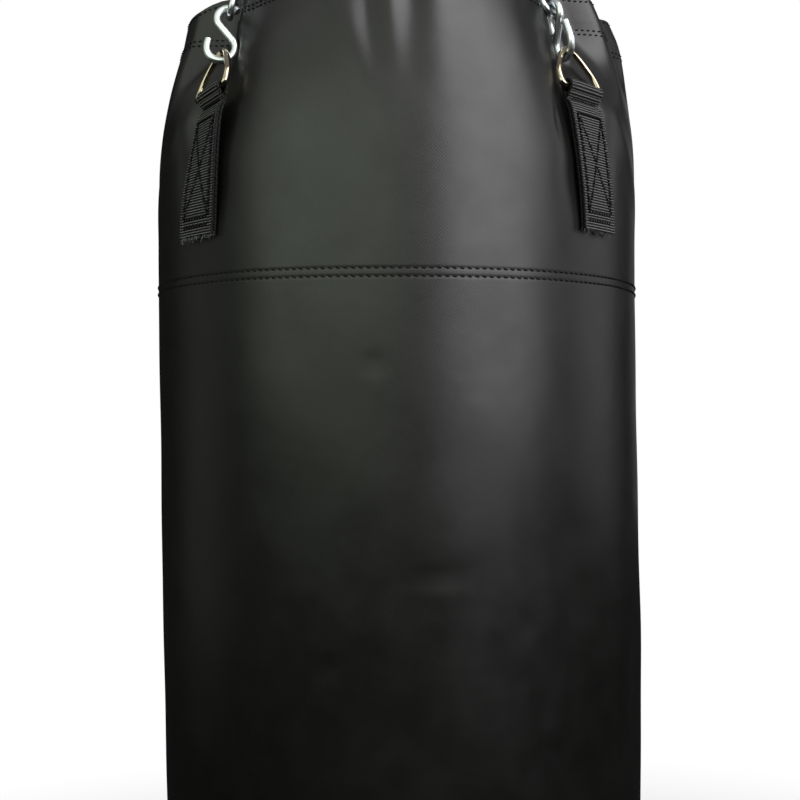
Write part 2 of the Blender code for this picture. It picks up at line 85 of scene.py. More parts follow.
# How far the top of the bag hangs to the right, by depth, and how the straps and the hanging wire press it in
SWAY = [(0.0, 0.0040), (0.02, 0.0056), (0.03, 0.0055), (0.06, 0.0036), (0.095, 0.0023), (0.13, 0.0015),
        (0.165, 0.0009), (0.20, 0.0003), (0.24, 0.0)]
STRAP_DENT = 0.0038
STRAP_HALF_TURN = 8.0
STRAP_DENT_TOP = (0.085, 0.025)
STRAP_DENT_FOOT = (0.200, 0.05)
PRESS_TURN = 14
PRESS_DEPTH = 0.090
PRESS_GAP = 0.0005
PRESS_ROUND = 0.0095
PRESS_EASE = 0.0012
PRESS_FADE = 0.006

# Gathers in the rim: azimuth at the rim, azimuth at the foot, half width, height, and how far down it runs
GATHERS = [
    (-16.0, 3.4, 3.1, 0.0028, 0.190), (-6.6, -2.6, 2.7, -0.0058, 0.115), (-1.4, -1.2, 2.3, 0.0016, 0.115),
    (4.2, 3.4, 3.0, -0.0046, 0.125), (10.5, 9.0, 4.4, 0.0022, 0.150), (32.0, 32.6, 2.8, -0.0020, 0.120),
    (40.8, 39.0, 3.4, 0.0026, 0.165),
]
SIDE_GATHERS = [
    (-9.0, -8.0, 3.0, 0.0016, 0.090), (2.0, 2.0, 3.5, -0.0020, 0.100), (11.0, 9.0, 4.0, 0.0014, 0.090),
]

# Faint dents in the front: azimuth, depth below the rim, half width, half height and how deep
DENTS = [
    (-4.9, 0.297, 2.5, 0.005, 0.0007), (7.5, 0.444, 6.5, 0.006, 0.0008), (6.2, 0.467, 3.0, 0.004, 0.0005),
    (26.7, 0.483, 3.0, 0.006, 0.0007), (-14.7, 0.508, 3.0, 0.005, 0.0006),
    (36.4, 0.121, 0.9, 0.010, 0.0016),
]
SIDE_SWELL = 0.0014
WAVE_HEIGHT = 0.00035

# Rows of points on the shell: depths on its inner face and hem, steps down its outer face, and its foot
INNER_ROWS = (0.235, 0.20, 0.17, 0.14, 0.12, 0.10, 0.085, 0.07, 0.056, 0.044, 0.034, HEM_DEPTH + 0.0012)
HEM_INNER_ROWS = (HEM_DEPTH, 0.020, 0.012, 0.006, 0.002)
OUTER_ROWS = (0.0012, 0.0020)
HEM_END = 0.034
FOLDED_END = 0.20
HEM_STEP = 0.0009
SEAM_STEP = 0.0008
FOLDED_STEP = 0.0032
PLAIN_STEP = 0.0070
FOOT_ROLL = 0.008
FOOT_ROLL_START = BAG_LENGTH - 0.009
FOOT_SEAT = ((BAG_LENGTH - 0.001, 0.012), (BAG_LENGTH - 0.002, 0.013))

# The ridge beside each D-ring and the hollow beyond it: turns are from the strap, in degrees
RIDGE_TOP = 0.080
RIDGE_REACH = 0.090
RIDGE_TURN = (5, 26)
RIDGE = (0.0010, 5.2)
HOLLOW = (0.0005, 5.0)
HOLLOW_TURN = 8.5

# Rows of stitches. The double row dips in front and is a little lower on the right
STITCHES = 236
COLUMNS = 2 * STITCHES
SEAM_DEPTH = 0.2262
SEAM_DIP = 0.0055
SEAM_LEAN = 0.0030
SEAM_SPACING = 0.0057
SEAM_ROW = 3
HEM_ROWS = (0.0034, 0.0238, 0.0275)
HEM_PITCH = 0.0046
HEM_SAG = (80.0, 20.0, 0.0080)
STITCH_SHARES = (0.18, 0.80)
SEAM_THREAD = 0.0005
HEM_THREAD = 0.00042
GROOVE = 0.00012
HOLE = 0.00035
GROOVE_HALF = 0.0009

# Straps
STRAP_WIDTH = 0.038
STRAP_BACK = [(0.1000, 0.1922), (0.1030, 0.1932), (0.1060, 0.1953), (0.1120, 0.1971), (0.1250, 0.1992),
              (0.1370, 0.2008), (0.1500, 0.2023), (0.1650, 0.2037), (0.1800, 0.2046), (0.1985, 0.2049)]
STRAP_PINCH = [(0.0968, 0.1970), (0.0995, 0.1945), (0.1020, 0.1943), (0.1040, 0.1970)]
LOOP_FOOT = 0.1008
BOX_TOP = 0.1118
BOX_FOOT = 0.1850
BOX_LAST = 0.1910
BOX_EDGE = 0.0050
BOX_PITCH = 0.0027
BOX_THREAD = 0.00075
BAR_PITCH = 0.0031
BAR_LEAN = 0.0013
BAR_THREAD = 0.00068
STITCH_SINK = 0.0003
SELVEDGE = 0.84
CORDS = 3
PLY = 0.0025
PLY_GAP = 0.0001
BAR_RADIUS = 0.1955
BAR_DEPTH = 0.0915
STRAP_END = 0.1985
RIB_PITCH = 0.0020
RIB_HEIGHT = 0.00075
FRAY_ENDS = 52
FRAY_THREAD = 0.00026

# Wire hardware. Chamfered ends and welds are in shares of the wire's diameter
WIRE_PLAY = 0.0010
END_CHAMFER = 0.07
WELD_REACH = 0.45
WELD_SWELL = 0.10
D_WIRE = 0.0050
D_HALF_BAR = 0.0228
D_REACH = 0.0325
D_CORNER = 0.0040
D_SIDE = [(0.0226, 0.0075), (0.0219, 0.0110), (0.0206, 0.0146), (0.0185, 0.0184), (0.0158, 0.0224),
          (0.0128, 0.0263), (0.0098, 0.0297), (0.0066, 0.0326), (0.0034, 0.0346)]
S_WIRE = 0.0058
S_INSIDE = 0.0380
S_LOOP = 0.0078
S_TOP_LOOP = 0.0060
LINK_WIRE = 0.0050
LINK_PITCH = 0.0400
LINK_INSIDE_WIDTH = 0.0120
LINKS_ABOVE_KNEE = 7
RING_WIRE = 0.0070
RING_INSIDE = 0.0280
LEGS = {
    "front_right": (45.0, 10.5, 0.0120, False),
    "back_right": (135.0, 25.5, 0.0050, True),
    "back_left": (-135.0, -10.5, 0.0120, False),
    "front_left": (-45.0, -25.5, 0.0050, True),
}

# Hooks whose upper loop stops short, and hooks turned about their length, in degrees
HOOK_OPEN = {"front_left": 55}
HOOK_TURN = {"front_right": -25}

# Each strap's turn, its middle's place along the bar, its foot's lean, and its D-ring's turn and place
STRAP_SET = {
    "front_right": (-1.5, 0.0040, 0.0022, -1.5, 0.0028),
    "back_right": (2.0, 0.0, 0.0015, 2.0, 0.0),
    "back_left": (-2.0, 0.0010, 0.0020, -2.0, 0.0),
    "front_left": (-12.0, 0.0056, -0.0060, -10.0, 0.0028),
}

# Swivel
BOW_WIRE = 0.0080
BOW_HALF_WIDTH = 0.0130
CROSS_TOP = -0.0360
CROSS_THICK = 0.0100
CROSS_WIDTH = 0.0200
CROSS_OVERHANG = 0.0020
SHANK_RADIUS = 0.0050
CROSS_BORE = SHANK_RADIUS * 1.08
WASHER_THICK = 0.0015
WASHER_RADIUS = 0.0090
NUT_THICK = 0.0080
NUT_RADIUS = 0.0098
EYE_WIRE = 0.0080
EYE_INSIDE = 0.0090
EYE_DROP = 0.0020
EYE_Z = CROSS_TOP - CROSS_THICK - EYE_DROP - EYE_INSIDE - EYE_WIRE
RING_Z = EYE_Z - EYE_INSIDE + GAP - RING_INSIDE

# Collar, lid, zip and foot
COLLAR_TOP = 0.148
COLLAR_FOOT = 0.238
COLLAR_THICK = 0.0015
COLLAR_EDGE = 0.0007
SHELL_EASE = 0.0014
LID_DEPTH = 0.2120
LID_TOP = RIM_Z - LID_DEPTH
LID_SLOT = 0.0040
LID_RISE = 0.0034
LID_WRINKLE = 0.35
LID_ROWS = 30
LID_COLUMNS = 90
ZIP_HALF_LENGTH = 0.168
TAPE_WIDTH = 0.0150
TAPE_LOW = 0.0003
TAPE_THICK = 0.0010
TAPE_ROWS = (0.0068, 0.0132)
TAPE_THREAD = 0.0003
ZIP_SIDES = (("front", -1), ("back", 1))
TOOTH_PITCH = 0.0030
TAPE_PITCH = 0.0035
TEETH_STOP = 0.006
TOOTH_LOW = -0.0013
TOOTH_HIGH = 0.0022
PULL_HALF_THICK = 0.0007
SLIDER_START = -0.150
HINGE_RISE = 0.0055
FOOT_SHARES = (0.003, 0.1, 0.2, 0.3, 0.4, 0.5, 0.6, 0.7, 0.78, 0.84, 0.88, 0.905, 0.925, 0.945, 0.965, 0.985,
               1.0)
FOOT_CROWN = 0.0010
FOOT_INSET = 0.0128
FOOT_SEAM = 0.925
FOOT_STITCHES = 210
FLOOR_DROP = 0.32
FLOOR_FADE = (1.9, 3.6)
FLOOR_RADIUS = 14

# The view. The photograph is 800 pixels square, and its focal length, row and column are in pixels
VIEW_SIDE = 800
VIEW_FOCAL = 1069.3
CAMERA_DISTANCE = 0.934
CAMERA_BELOW_RIM = 0.3375
HORIZON_ROW = 422
AXIS_COLUMN = 398.5
CAMERA_ROLL = 0.83


def smooth(value):
    value = np.clip(value, 0.0, 1.0)
    return value * value * (3 - 2 * value)


def mix(first, second, share):
    return first + (second - first) * share


def hump(offset, half):
    return np.exp(-(offset / half) ** 2)


def turn_between(azimuth, centre):
    """Degrees from a centre to an azimuth, the short way round."""
    return (azimuth - centre + 180) % 360 - 180


def outward(azimuth):
    angle = math.radians(azimuth)
    return Vector((math.sin(angle), -math.cos(angle), 0))


def directions(azimuths):
    """The level ways out from the axis at several azimuths, in rows."""
    angles = np.radians(azimuths)
    return np.stack([np.sin(angles), -np.cos(angles)], axis=1)


def limb_radius(depth):
    draw = DRAW_IN * np.maximum(0.0, 1 - depth / DRAW_DEPTH) ** 2
    taper = (BAG_RADIUS - FOOT_RADIUS) * smooth((depth - TAPER_START) / (BAG_LENGTH - TAPER_START))
    return BAG_RADIUS - draw - taper


def rim_folds():
    """The rim's folds and heights at fine even steps round half a turn, with their corners eased."""
    steps = np.arange(-90, 90, FOLD_STEP)
    at, *columns = zip(*RIM_FOLDS)
    reach = np.arange(-12, 13)
    weights = hump(reach * FOLD_STEP, FOLD_ROUND)
    weights /= weights.sum()
    eased = []
    for values in columns:
        exact = np.interp(steps, at, values)
        eased.append(sum(weight * np.roll(exact, shift) for shift, weight in zip(reach, weights)))
    return steps, *eased


def fold_fade(depth):
    """How strong the pleats are at a depth, from 1 at the rim to 0 where the bag is round."""
    return (1 - np.clip(depth / DRAW_DEPTH, 0, 1) ** 1.6) ** 1.5


FOLD_STEPS, FOLD_VALUES, LIFT_VALUES = rim_folds()


def folds(azimuth, depth):
    """How far the pleats beside the straps bring the shell inwards."""
    angle = np.radians(azimuth)
    rim = np.interp(azimuth, FOLD_STEPS, FOLD_VALUES, period=180)
    from_axis = np.degrees(np.arctan2(np.abs(np.sin(angle)), np.abs(np.cos(angle))))
    centre, half, power, deep = FOLD_FOOT
    foot = deep * np.exp(-(np.abs(from_axis - centre) / half) ** power)
    strength = np.minimum(fold_fade(depth) / fold_fade(FOLD_DEPTH), 1.0)
    return strength * mix(rim, foot, smooth((depth - FOLD_TURN_START) / FOLD_TURN))


def from_strap(azimuth):
    """Degrees from the nearest strap's azimuth."""
    from_side = np.abs(turn_between(np.abs(turn_between(azimuth, 0)), 90))
    return np.abs(from_side - 45)


def fold_lift(azimuth, depth):
    """How far the rim stands above or below its plain height in the pleats."""
    rim = np.interp(azimuth, FOLD_STEPS, LIFT_VALUES, period=180)
    return rim * np.clip(1 - depth / 0.030, 0, 1) ** 1.5


def under_strap(azimuth, depth):
    """Where a strap lies on the shell: 1 under its middle, 0 beside it."""
    beside = from_strap(azimuth) / STRAP_HALF_TURN
    (top, fade_in), (foot, fade_out) = STRAP_DENT_TOP, STRAP_DENT_FOOT
    return np.exp(-beside ** 4) * smooth((depth - top) / fade_in) * smooth((foot - depth) / fade_out)


def strap_turn(name, depth):
    """How far the strap is turned on the shell, in degrees, from its loop to its foot."""
    turn = STRAP_SET[name][0]
    return mix(turn, -turn / 4, smooth((depth - 0.098) / 0.090))


def strap_press(azimuth, depth):
    """How far a turned strap presses its leading edge into the shell."""
    total = np.zeros(np.broadcast(azimuth, depth).shape)
    for name, (strap, *_) in LEGS.items():
        offset = BAG_RADIUS * np.radians(turn_between(azimuth, strap))
        nearby = hump(turn_between(azimuth, strap), 12) * under_strap(azimuth, depth)
        total += np.minimum(0, -np.tan(np.radians(strap_turn(name, depth))) * offset) * nearby
    return total


def sway(azimuth, depth):
    """The top of the bag hangs a little to the right of its foot, but not under the straps."""
    depths, shifts = zip(*SWAY)
    return np.interp(depth, depths, shifts) * np.sin(np.radians(azimuth)) * (1 - under_strap(azimuth, depth))


def gathers(azimuth, depth):
    """Small folds that the hem's stitches draw into the rim."""
    total = np.zeros(np.broadcast(azimuth, depth).shape)
    for centre, rows in ((0, GATHERS), (180, GATHERS), (90, SIDE_GATHERS), (-90, SIDE_GATHERS)):
        for at, end, half, height, reach in rows:
            fade = np.clip(1 - depth / reach, 0, 1) ** 1.3
            middle = centre + mix(at, end, np.clip(depth / reach, 0, 1))
            total += height * fade * hump(turn_between(azimuth, middle), half)
    return total


def tension_folds(azimuth, depth):
    """The ridge that runs from the foot of each D-ring down and round the side."""
    (start, more), (rise, half), (fall, fall_half) = RIDGE_TURN, RIDGE, HOLLOW
    total = np.zeros(np.broadcast(azimuth, depth).shape)
    for strap, _, _, _ in LEGS.values():
        side = math.copysign(1, 90 - abs(strap)) * math.copysign(1, strap)
        along = (depth - RIDGE_TOP) / RIDGE_REACH
        fade = smooth(along / 0.25) * smooth((1.25 - along) / 0.6)
        offset = turn_between(azimuth, strap) * side - (start + more * along)
        total += fade * (rise * hump(offset, half) - fall * hump(offset - HOLLOW_TURN, fall_half))
    return total


def seam_depth(azimuth):
    angle = np.radians(azimuth)
    return SEAM_DEPTH + SEAM_DIP * np.cos(angle) ** 2 + SEAM_LEAN * np.sin(angle)


def stitch_rows(azimuth):
    """How far below the rim each row of stitches runs. The hem's double row sags beside two of the pleats."""
    top = seam_depth(azimuth)
    centre, half, drop = HEM_SAG
    sag = drop * (hump(turn_between(azimuth, centre), half) + hump(turn_between(azimuth, centre - 180), half))
    rim, first, second = HEM_ROWS
    return [rim + 0 * top, first + sag, second + sag, top, top + SEAM_SPACING]


def surface_radius(azimuth, depth):
    """The shell's outer radius with its folds and dents, but without the stitches' grooves."""
    angle = np.radians(azimuth)
    wave = np.sin(angle * 5 + 1.3 + 9 * depth) * np.sin(23 * depth + 0.6)
    wave = wave + 0.7 * np.sin(angle * 9 - 17 * depth) * np.sin(41 * depth + 2.1)
    radius = limb_radius(depth) - folds(azimuth, depth) + gathers(azimuth, depth)
    radius = radius + tension_folds(azimuth, depth) + sway(azimuth, depth)
    radius = radius - STRAP_DENT * under_strap(azimuth, depth) + strap_press(azimuth, depth)
    radius = radius + SIDE_SWELL * hump(turn_between(azimuth, 80), 16) * hump(depth - 0.52, 0.055)
    radius = radius + WAVE_HEIGHT * wave * smooth((depth - 0.16) / 0.10)
    for at, down, half, tall, deep in DENTS:
        radius = radius - deep * hump(turn_between(azimuth, at), half) * hump(depth - down, tall)
    return give_way(radius, azimuth, depth)


def give_way(radius, azimuth, depth):
    """Presses the shell in behind the hooks and the lowest links."""
    azimuth, depth, radius = np.broadcast_arrays(azimuth, depth, radius)
    near = (from_strap(azimuth) < PRESS_TURN) & (depth < PRESS_DEPTH)
    if not near.any():
        return radius
    at, down, reach, half = HANGING_POINTS[:, :, None]
    aside = np.radians(turn_between(azimuth[near], at)) * reach
    away = aside ** 2 + (depth[near] - down) ** 2
    limit = (reach - half - PRESS_GAP + away / PRESS_ROUND).min(axis=0)
    pressed = radius.copy()
    here = radius[near]
    eased = (here + limit - np.sqrt((here - limit) ** 2 + PRESS_EASE ** 2)) / 2
    pressed[near] = mix(here, eased, smooth(1 + (here - limit) / PRESS_FADE))
    return pressed


def new_mesh(name, points, faces, finishes):
    data = bpy.data.meshes.new(name)
    data.from_pydata([tuple(point) for point in points], [], faces)
    for finish in finishes:
        data.materials.append(finish)
    return data


def mend(data, join=False):
    """Turns a mesh's faces outwards, and joins the points that lie on each other where asked."""
    shape = bmesh.new()
    shape.from_mesh(data)
    if join:
        bmesh.ops.remove_doubles(shape, verts=shape.verts, dist=1e-6)
    bmesh.ops.recalc_face_normals(shape, faces=shape.faces)
    shape.to_mesh(data)
    shape.free()


def put(name, data):
    thing = bpy.data.objects.new(name, data)
    bpy.context.scene.collection.objects.link(thing)
    return thing


def add(name, points, faces, finishes, body="bag", replaces=(), slot=None, uv=None, kinds=None, around=0.0):
    """Makes a smooth mesh piece that rides on a body. Its weave closes round a length, if one is given."""
    data = new_mesh(name, points, faces, finishes)
    mend(data)
    if kinds is not None:
        data.polygons.foreach_set("material_index", kinds)
    if uv is not None:
        corners = np.zeros(len(data.loops), np.int32)
        data.loops.foreach_get("vertex_index", corners)
        places = np.asarray(uv, np.float32)[corners]
        if around:
            for face in data.polygons:
                some = places[face.loop_start:face.loop_start + face.loop_total]
                if some[:, 0].max() - some[:, 0].min() > around / 2:
                    some[some[:, 0] < some[:, 0].max() - around / 2, 0] += around
        data.uv_layers.new(name="weave").data.foreach_set("uv", places.ravel())
    data.shade_smooth()
    return place(name, data, Matrix.Identity(4), body, replaces)


def place(name, data, where, body="bag", replaces=()):
    piece = put(name, data)
    piece.matrix_world = where
    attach(piece, body)
    if replaces:
        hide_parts(*replaces)
    return piece


def grid_faces(rows, columns, closed=True, flip=False, ring=False):
    """Quads between rows of points. A closed grid joins its last column to its first, a ring its last row."""
    faces = []
    for row in range(rows if ring else rows - 1):
        here, below = row * columns, (row + 1) % rows * columns
        for column in range(columns if closed else columns - 1):
            other = (column + 1) % columns
            corners = (here + column, here + other, below + other, below + column)
            faces.append(corners[::-1] if flip else corners)
    return faces


def end_faces(rows, columns, flip=False):
    """The two faces that close a tube of points in rows."""
    ends = [tuple(range(columns)), tuple(range((rows - 1) * columns, rows * columns))[::-1]]
    return [end[::-1] for end in ends] if flip else ends


def shifted(faces, first):
    """Faces whose points start at a number."""
    return [tuple(corner + first for corner in face) for face in faces]


def circle(centre, size, first, second, count):
    """Points round a centre, in the plane of two directions."""
    angles = [math.tau * corner / count for corner in range(count)]
    return [centre + size * (math.cos(angle) * first + math.sin(angle) * second) for angle in angles]


def lengths_along(line):
    """The length so far at each point of a line."""
    lengths = [0.0]
    for before, after in zip(line, line[1:]):
        lengths.append(lengths[-1] + (after - before).length)
    return lengths


def cut_corners(line):
    """Rounds a line by leaving the middle half of each of its lengths."""
    return [point for a, b in zip(line, line[1:]) for point in (a.lerp(b, 0.25), a.lerp(b, 0.75))]


class Nodes:
    """Builds a tree of shader nodes."""

    def __init__(self, tree):
        self.tree = tree

    def feed(self, socket, value):
        """Gives a socket a value, or another node's output."""
        if isinstance(value, bpy.types.NodeSocket):
            self.tree.links.new(value, socket)
        else:
            socket.default_value = value

    def node(self, kind, inputs=None, **settings):
        made = self.tree.nodes.new("ShaderNode" + kind)
        for name, value in settings.items():
            setattr(made, name, value)
        for name, value in (inputs or {}).items():
            self.feed(made.inputs[name], value)
        return made

    def math(self, operation, *values):
        return self.node("Math", dict(enumerate(values)), operation=operation).outputs[0]

    def span(self, value, low, high, start=0.3, end=0.7, kind="LINEAR"):
        """Spreads a value between two others. A noise lies mostly between the start and end given here."""
        inputs = {"Value": value, "From Min": start, "From Max": end, "To Min": low, "To Max": high}
        return self.node("MapRange", inputs, interpolation_type=kind).outputs[0]

    def mix(self, share, first, second):
        return self.node("MixShader", {0: share, 1: first, 2: second}).outputs[0]


class Shader(Nodes):
    """Builds one material's nodes."""

    def __init__(self, name):
        self.material = bpy.data.materials.new(name)
        self.material.use_nodes = True
        super().__init__(self.material.node_tree)
        self.shader = self.tree.nodes["Principled BSDF"]

    def set(self, **values):
        for name, value in values.items():
            self.feed(self.shader.inputs[name.replace("_", " ")], value)
        return self

    def noise(self, scale, detail=3.0):
        where = self.node("TexCoord").outputs["Object"]
        return self.node("TexNoise", {"Vector": where, "Scale": scale, "Detail": detail}).outputs["Fac"]

    def colour(self, value, dark, light):
        ramp = self.node("ValToRGB", {0: value})
        for element, position, shade in zip(ramp.color_ramp.elements, (0.3, 0.7), (dark, light)):
            element.position = position
            element.color = (*shade, 1)
        return self.set(Base_Color=ramp.outputs[0])

    def roughness(self, value, low, high):
        return self.set(Roughness=self.span(value, low, high))

    def bump(self, height, distance):
        """Adds a layer of relief over the ones before it."""
        inputs = {"Distance": distance, "Height": height}
        before = self.shader.inputs["Normal"].links
        if before:
            inputs["Normal"] = before[0].from_socket
        return self.set(Normal=self.node("Bump", inputs).outputs[0])

    def lengths(self):
        """The piece's own lengths across and along its threads, in metres."""
        weave = self.node("UVMap", uv_map="weave").outputs[0]
        return self.node("SeparateXYZ", {0: weave}).outputs[:2]

    def wave(self, length, pitch):
        return self.math("SINE", self.math("MULTIPLY", length, math.tau / pitch))

    def weave(self, across, along=None, diagonal=False):
        """Threads that cross over each other, at a pitch in metres each way."""
        first, second = self.lengths()
        if diagonal:
            first, second = self.math("ADD", first, second), self.math("SUBTRACT", first, second)
        return self.math("MULTIPLY", self.wave(first, across), self.wave(second, along or across))


def grey(level):
    return level, level, level


def make_vinyl():
    made = Shader("coated_vinyl")
    made.colour(made.noise(6.0, 4.0), (0.0025, 0.0021, 0.0017), (0.0035, 0.0031, 0.0027))
    made.roughness(made.noise(38.0, 5.0), 0.34, 0.41)
    made.set(Specular_IOR_Level=0.6)
    made.bump(made.noise(16.0), 0.0006)
    made.bump(made.weave(0.0026), 0.000017)
    return made.bump(made.noise(1500.0, 2.0), 0.00003).material


def make_backing():
    made = Shader("vinyl_backing")
    made.colour(made.noise(60.0), (0.020, 0.020, 0.021), grey(0.030))
    made.set(Roughness=0.85)
    return made.bump(made.weave(0.0014), 0.00015).material


def make_canvas():
    made = Shader("lid_canvas")
    made.colour(made.noise(40.0, 5.0), (0.024, 0.024, 0.025), (0.042, 0.042, 0.043))
    made.roughness(made.noise(90.0), 0.72, 0.86)
    made.bump(made.noise(22.0), 0.0012)
    return made.bump(made.weave(0.0016), 0.00022).material


def make_webbing():
    made = Shader("nylon_webbing")
    across, along = made.lengths()
    # Painted light: each rib's top is painted light grey as a painted highlight, and the gap between ribs is
    # painted near black as painted shade
    rib = made.math("POWER", made.math("ABSOLUTE", made.wave(along, 2 * RIB_PITCH)), 3.5)
    # The strap's outer edges and side faces are painted darker still: painted shade for the faces turned away
    # from the light
    side = made.math("GREATER_THAN", made.math("ABSOLUTE", across), STRAP_WIDTH / 2 * 0.975)
    rib = made.math("MULTIPLY", rib, made.math("SUBTRACT", 1.0, made.math("MULTIPLY", side, 0.9)))
    speckle = made.span(made.noise(1400.0), -0.16, 0.16)
    # The dark end of the ramp is the painted shade between ribs and the light end the painted highlight on
    # them; the speckle is the yarn's own random tone
    made.colour(made.math("ADD", made.math("MULTIPLY", rib, 0.78), speckle), grey(0.0010), grey(0.1600))
    made.roughness(made.noise(300.0), 0.60, 0.75)
    made.set(Specular_IOR_Level=0.3)
    made.bump(made.weave(0.0013, 2 * RIB_PITCH), 0.00022)
    return made.bump(made.noise(2600.0, 2.0), 0.00006).material


def make_thread():
    made = Shader("bonded_thread")
    made.colour(made.noise(900.0), grey(0.0012), grey(0.0030))
    made.set(Roughness=0.7, Specular_IOR_Level=0.25)
    return made.bump(made.noise(2400.0, 1.0), 0.00006).material


def make_metal(name, dark, light, rough, scale=60.0, scuff=0.00003):
    made = Shader(name)
    made.set(Metallic=1.0)
    made.colour(made.noise(scale, 5.0), dark, light)
    made.roughness(made.noise(scale * 2.5, 4.0), *rough)
    return made.bump(made.noise(scale * 9), scuff).material


def make_tape():
    made = Shader("zip_tape_weave")
    made.colour(made.noise(500.0), grey(0.010), grey(0.020))
    made.set(Roughness=0.8)
    return made.bump(made.weave(0.0010, 0.0008, True), 0.00015).material


def make_teeth():
    made = Shader("moulded_teeth")
    made.colour(made.noise(200.0), grey(0.012), grey(0.022))
    made.set(Roughness=0.35)
    return made.bump(made.noise(900.0), 0.00004).material


def make_filling():
    made = Shader("textile_cuttings")
    made.colour(made.noise(45.0, 6.0), (0.16, 0.17, 0.20), (0.48, 0.45, 0.41))
    made.set(Roughness=0.95)
    return made.bump(made.noise(120.0, 6.0), 0.004).material


VINYL = make_vinyl()
BACKING = make_backing()
CANVAS = make_canvas()
WEBBING = make_webbing()
THREAD_BLACK = make_thread()
HOOK_ZINC = make_metal("hook_zinc", (0.84, 0.90, 0.91), (0.94, 0.98, 0.98), (0.28, 0.40), 60.0, 0.00001)
CHAIN_ZINC = make_metal("chain_zinc", (0.62, 0.66, 0.69), (0.80, 0.83, 0.85), (0.24, 0.40))
FORGED_ZINC = make_metal("forged_zinc", (0.55, 0.57, 0.59), (0.72, 0.74, 0.76), (0.30, 0.46), 35.0, 0.00012)
NICKEL = make_metal("polished_nickel", (0.44, 0.36, 0.25), (0.62, 0.54, 0.41), (0.04, 0.10), 60.0, 0.00001)
ZIP_METAL = make_metal("zip_metal", (0.34, 0.34, 0.35), (0.52, 0.52, 0.53), (0.30, 0.46))
TAPE = make_tape()
TEETH = make_teeth()
FILLING = make_filling()


def shell_depths():
    """Rows of the shell's outer face, closer together at the stitches."""
    depths = list(OUTER_ROWS)
    while depths[-1] < BAG_LENGTH - 0.012:
        here = depths[-1]
        near_seam = SEAM_DEPTH - 0.007 < here < SEAM_DEPTH + SEAM_DIP + SEAM_SPACING + 0.004
        if near_seam:
            step = SEAM_STEP
        elif here < HEM_END:
            step = HEM_STEP
        else:
            step = FOLDED_STEP if here < FOLDED_END else PLAIN_STEP
        depths.append(here + step)
    return np.array(depths)


def build_shell():
    """The vinyl shell: outer face with grooved stitch rows, rolled rim, turned-in hem and inner face."""
    azimuths = np.arange(COLUMNS) * 360 / COLUMNS - 180
    ways = directions(azimuths)
    hole = (np.arange(COLUMNS) % 2 == 0) * 1.0
    rows, lengths, kinds = [], [], []

    def row(depth, inset, kind=0, grooved=False):
        radius = surface_radius(azimuths, np.full(COLUMNS, max(depth, 0.0))) - inset
        if grooved:
            for index, line in enumerate(stitch_rows(azimuths)):
                holes = HOLE * hole if index >= SEAM_ROW else 0.0
                radius -= (GROOVE + holes) * hump(depth - line, GROOVE_HALF)
        height = RIM_Z - depth + fold_lift(azimuths, max(depth, 0.0))
        rows.append(np.column_stack([ways * radius[:, None], height]))
        lengths.append(depth)
        kinds.append(kind)

    for depth in INNER_ROWS:
        row(depth, SHELL_THICK, 1)
    for depth in HEM_INNER_ROWS:
        row(depth, HEM_THICK)
    round_rim = HEM_THICK / 2
    for angle in (150, 120, 90, 60, 30):
        lift = round_rim * math.sin(math.radians(angle))
        row(round_rim - lift, round_rim * (1 + math.cos(math.radians(180 - angle))))
    for depth in shell_depths():
        row(depth, 0.0, grooved=True)
    for angle in (0, 25, 50, 75, 90):
        turn = math.radians(angle)
        row(FOOT_ROLL_START + FOOT_ROLL * math.sin(turn), FOOT_ROLL * (1 - math.cos(turn)))
    for depth, inset in FOOT_SEAT:
        row(depth, inset)

    girth = math.tau * BAG_RADIUS
    along = azimuths / 360 * girth
    uv = np.concatenate([np.column_stack([along, np.full(COLUMNS, length)]) for length in lengths])
    kinds = np.repeat(kinds[:-1], COLUMNS)
    shell = add("shell", np.concatenate(rows), grid_faces(len(rows), COLUMNS), [VINYL, BACKING],
                replaces=["outer_shell"], slot="vinyl", uv=uv, kinds=kinds, around=girth)


def thread(start, end, out, radius):
    """Points and faces of one stitch that rises out of one hole and goes down into the next."""
    along = end - start
    side = along.cross(out).normalized()
    shares = (0.0, 0.06, 0.2, 0.5, 0.8, 0.94, 1.0)
    points = []
    for share in shares:
        away = abs(share - 0.5) * 2
        rise = radius * (1.0 - 2.2 * away ** 4)
        points += circle(start + along * share + out * rise, radius * (1.0 - 0.45 * away ** 6), side, out, 6)
    return points, grid_faces(len(shares), 6)


def sew(name, stitches, slot="vinyl", radius=SEAM_THREAD):
    """Joins stitches, each given by its ends and the way out of the cloth, into one piece."""
    points, faces = [], []
    for start, end, out in stitches:
        some_points, some_faces = thread(start, end, out, radius)
        faces += shifted(some_faces, len(points))
        points += some_points
    add(name, points, faces, [THREAD_BLACK], slot=slot)


def shell_point(azimuth, depth, rise=0.0):
    azimuth, depth = np.float64(azimuth), np.float64(depth)
    radius = float(surface_radius(azimuth, depth)) + rise
    return outward(azimuth) * radius + UP * float(RIM_Z - depth + fold_lift(azimuth, depth))


def build_hem_rows():
    """The rim's row and the hem's double row, at even steps along the folds."""
    azimuths = np.arange(-180, 180, 0.2)
    turns = np.append(azimuths, 180.0)
    rows = stitch_rows(azimuths)
    for index, name in enumerate(("rim_stitches", "hem_stitches_top", "hem_stitches_foot")):
        path = [shell_point(azimuth, depth) for azimuth, depth in zip(azimuths, rows[index])]
        lengths = lengths_along(path + path[:1])
        count = round(lengths[-1] / HEM_PITCH)
        stitches = []
        for number in range(count):
            ends = []
            for share, lean in zip(STITCH_SHARES, (0.0001, -0.0001)):
                azimuth = float(np.interp((number + share) / count * lengths[-1], lengths, turns))
                ends.append(shell_point(azimuth, float(stitch_rows(azimuth)[index]) + lean))
            stitches.append((*ends, (ends[1] - ends[0]).cross(UP).normalized()))
        sew(name, stitches, radius=HEM_THREAD)


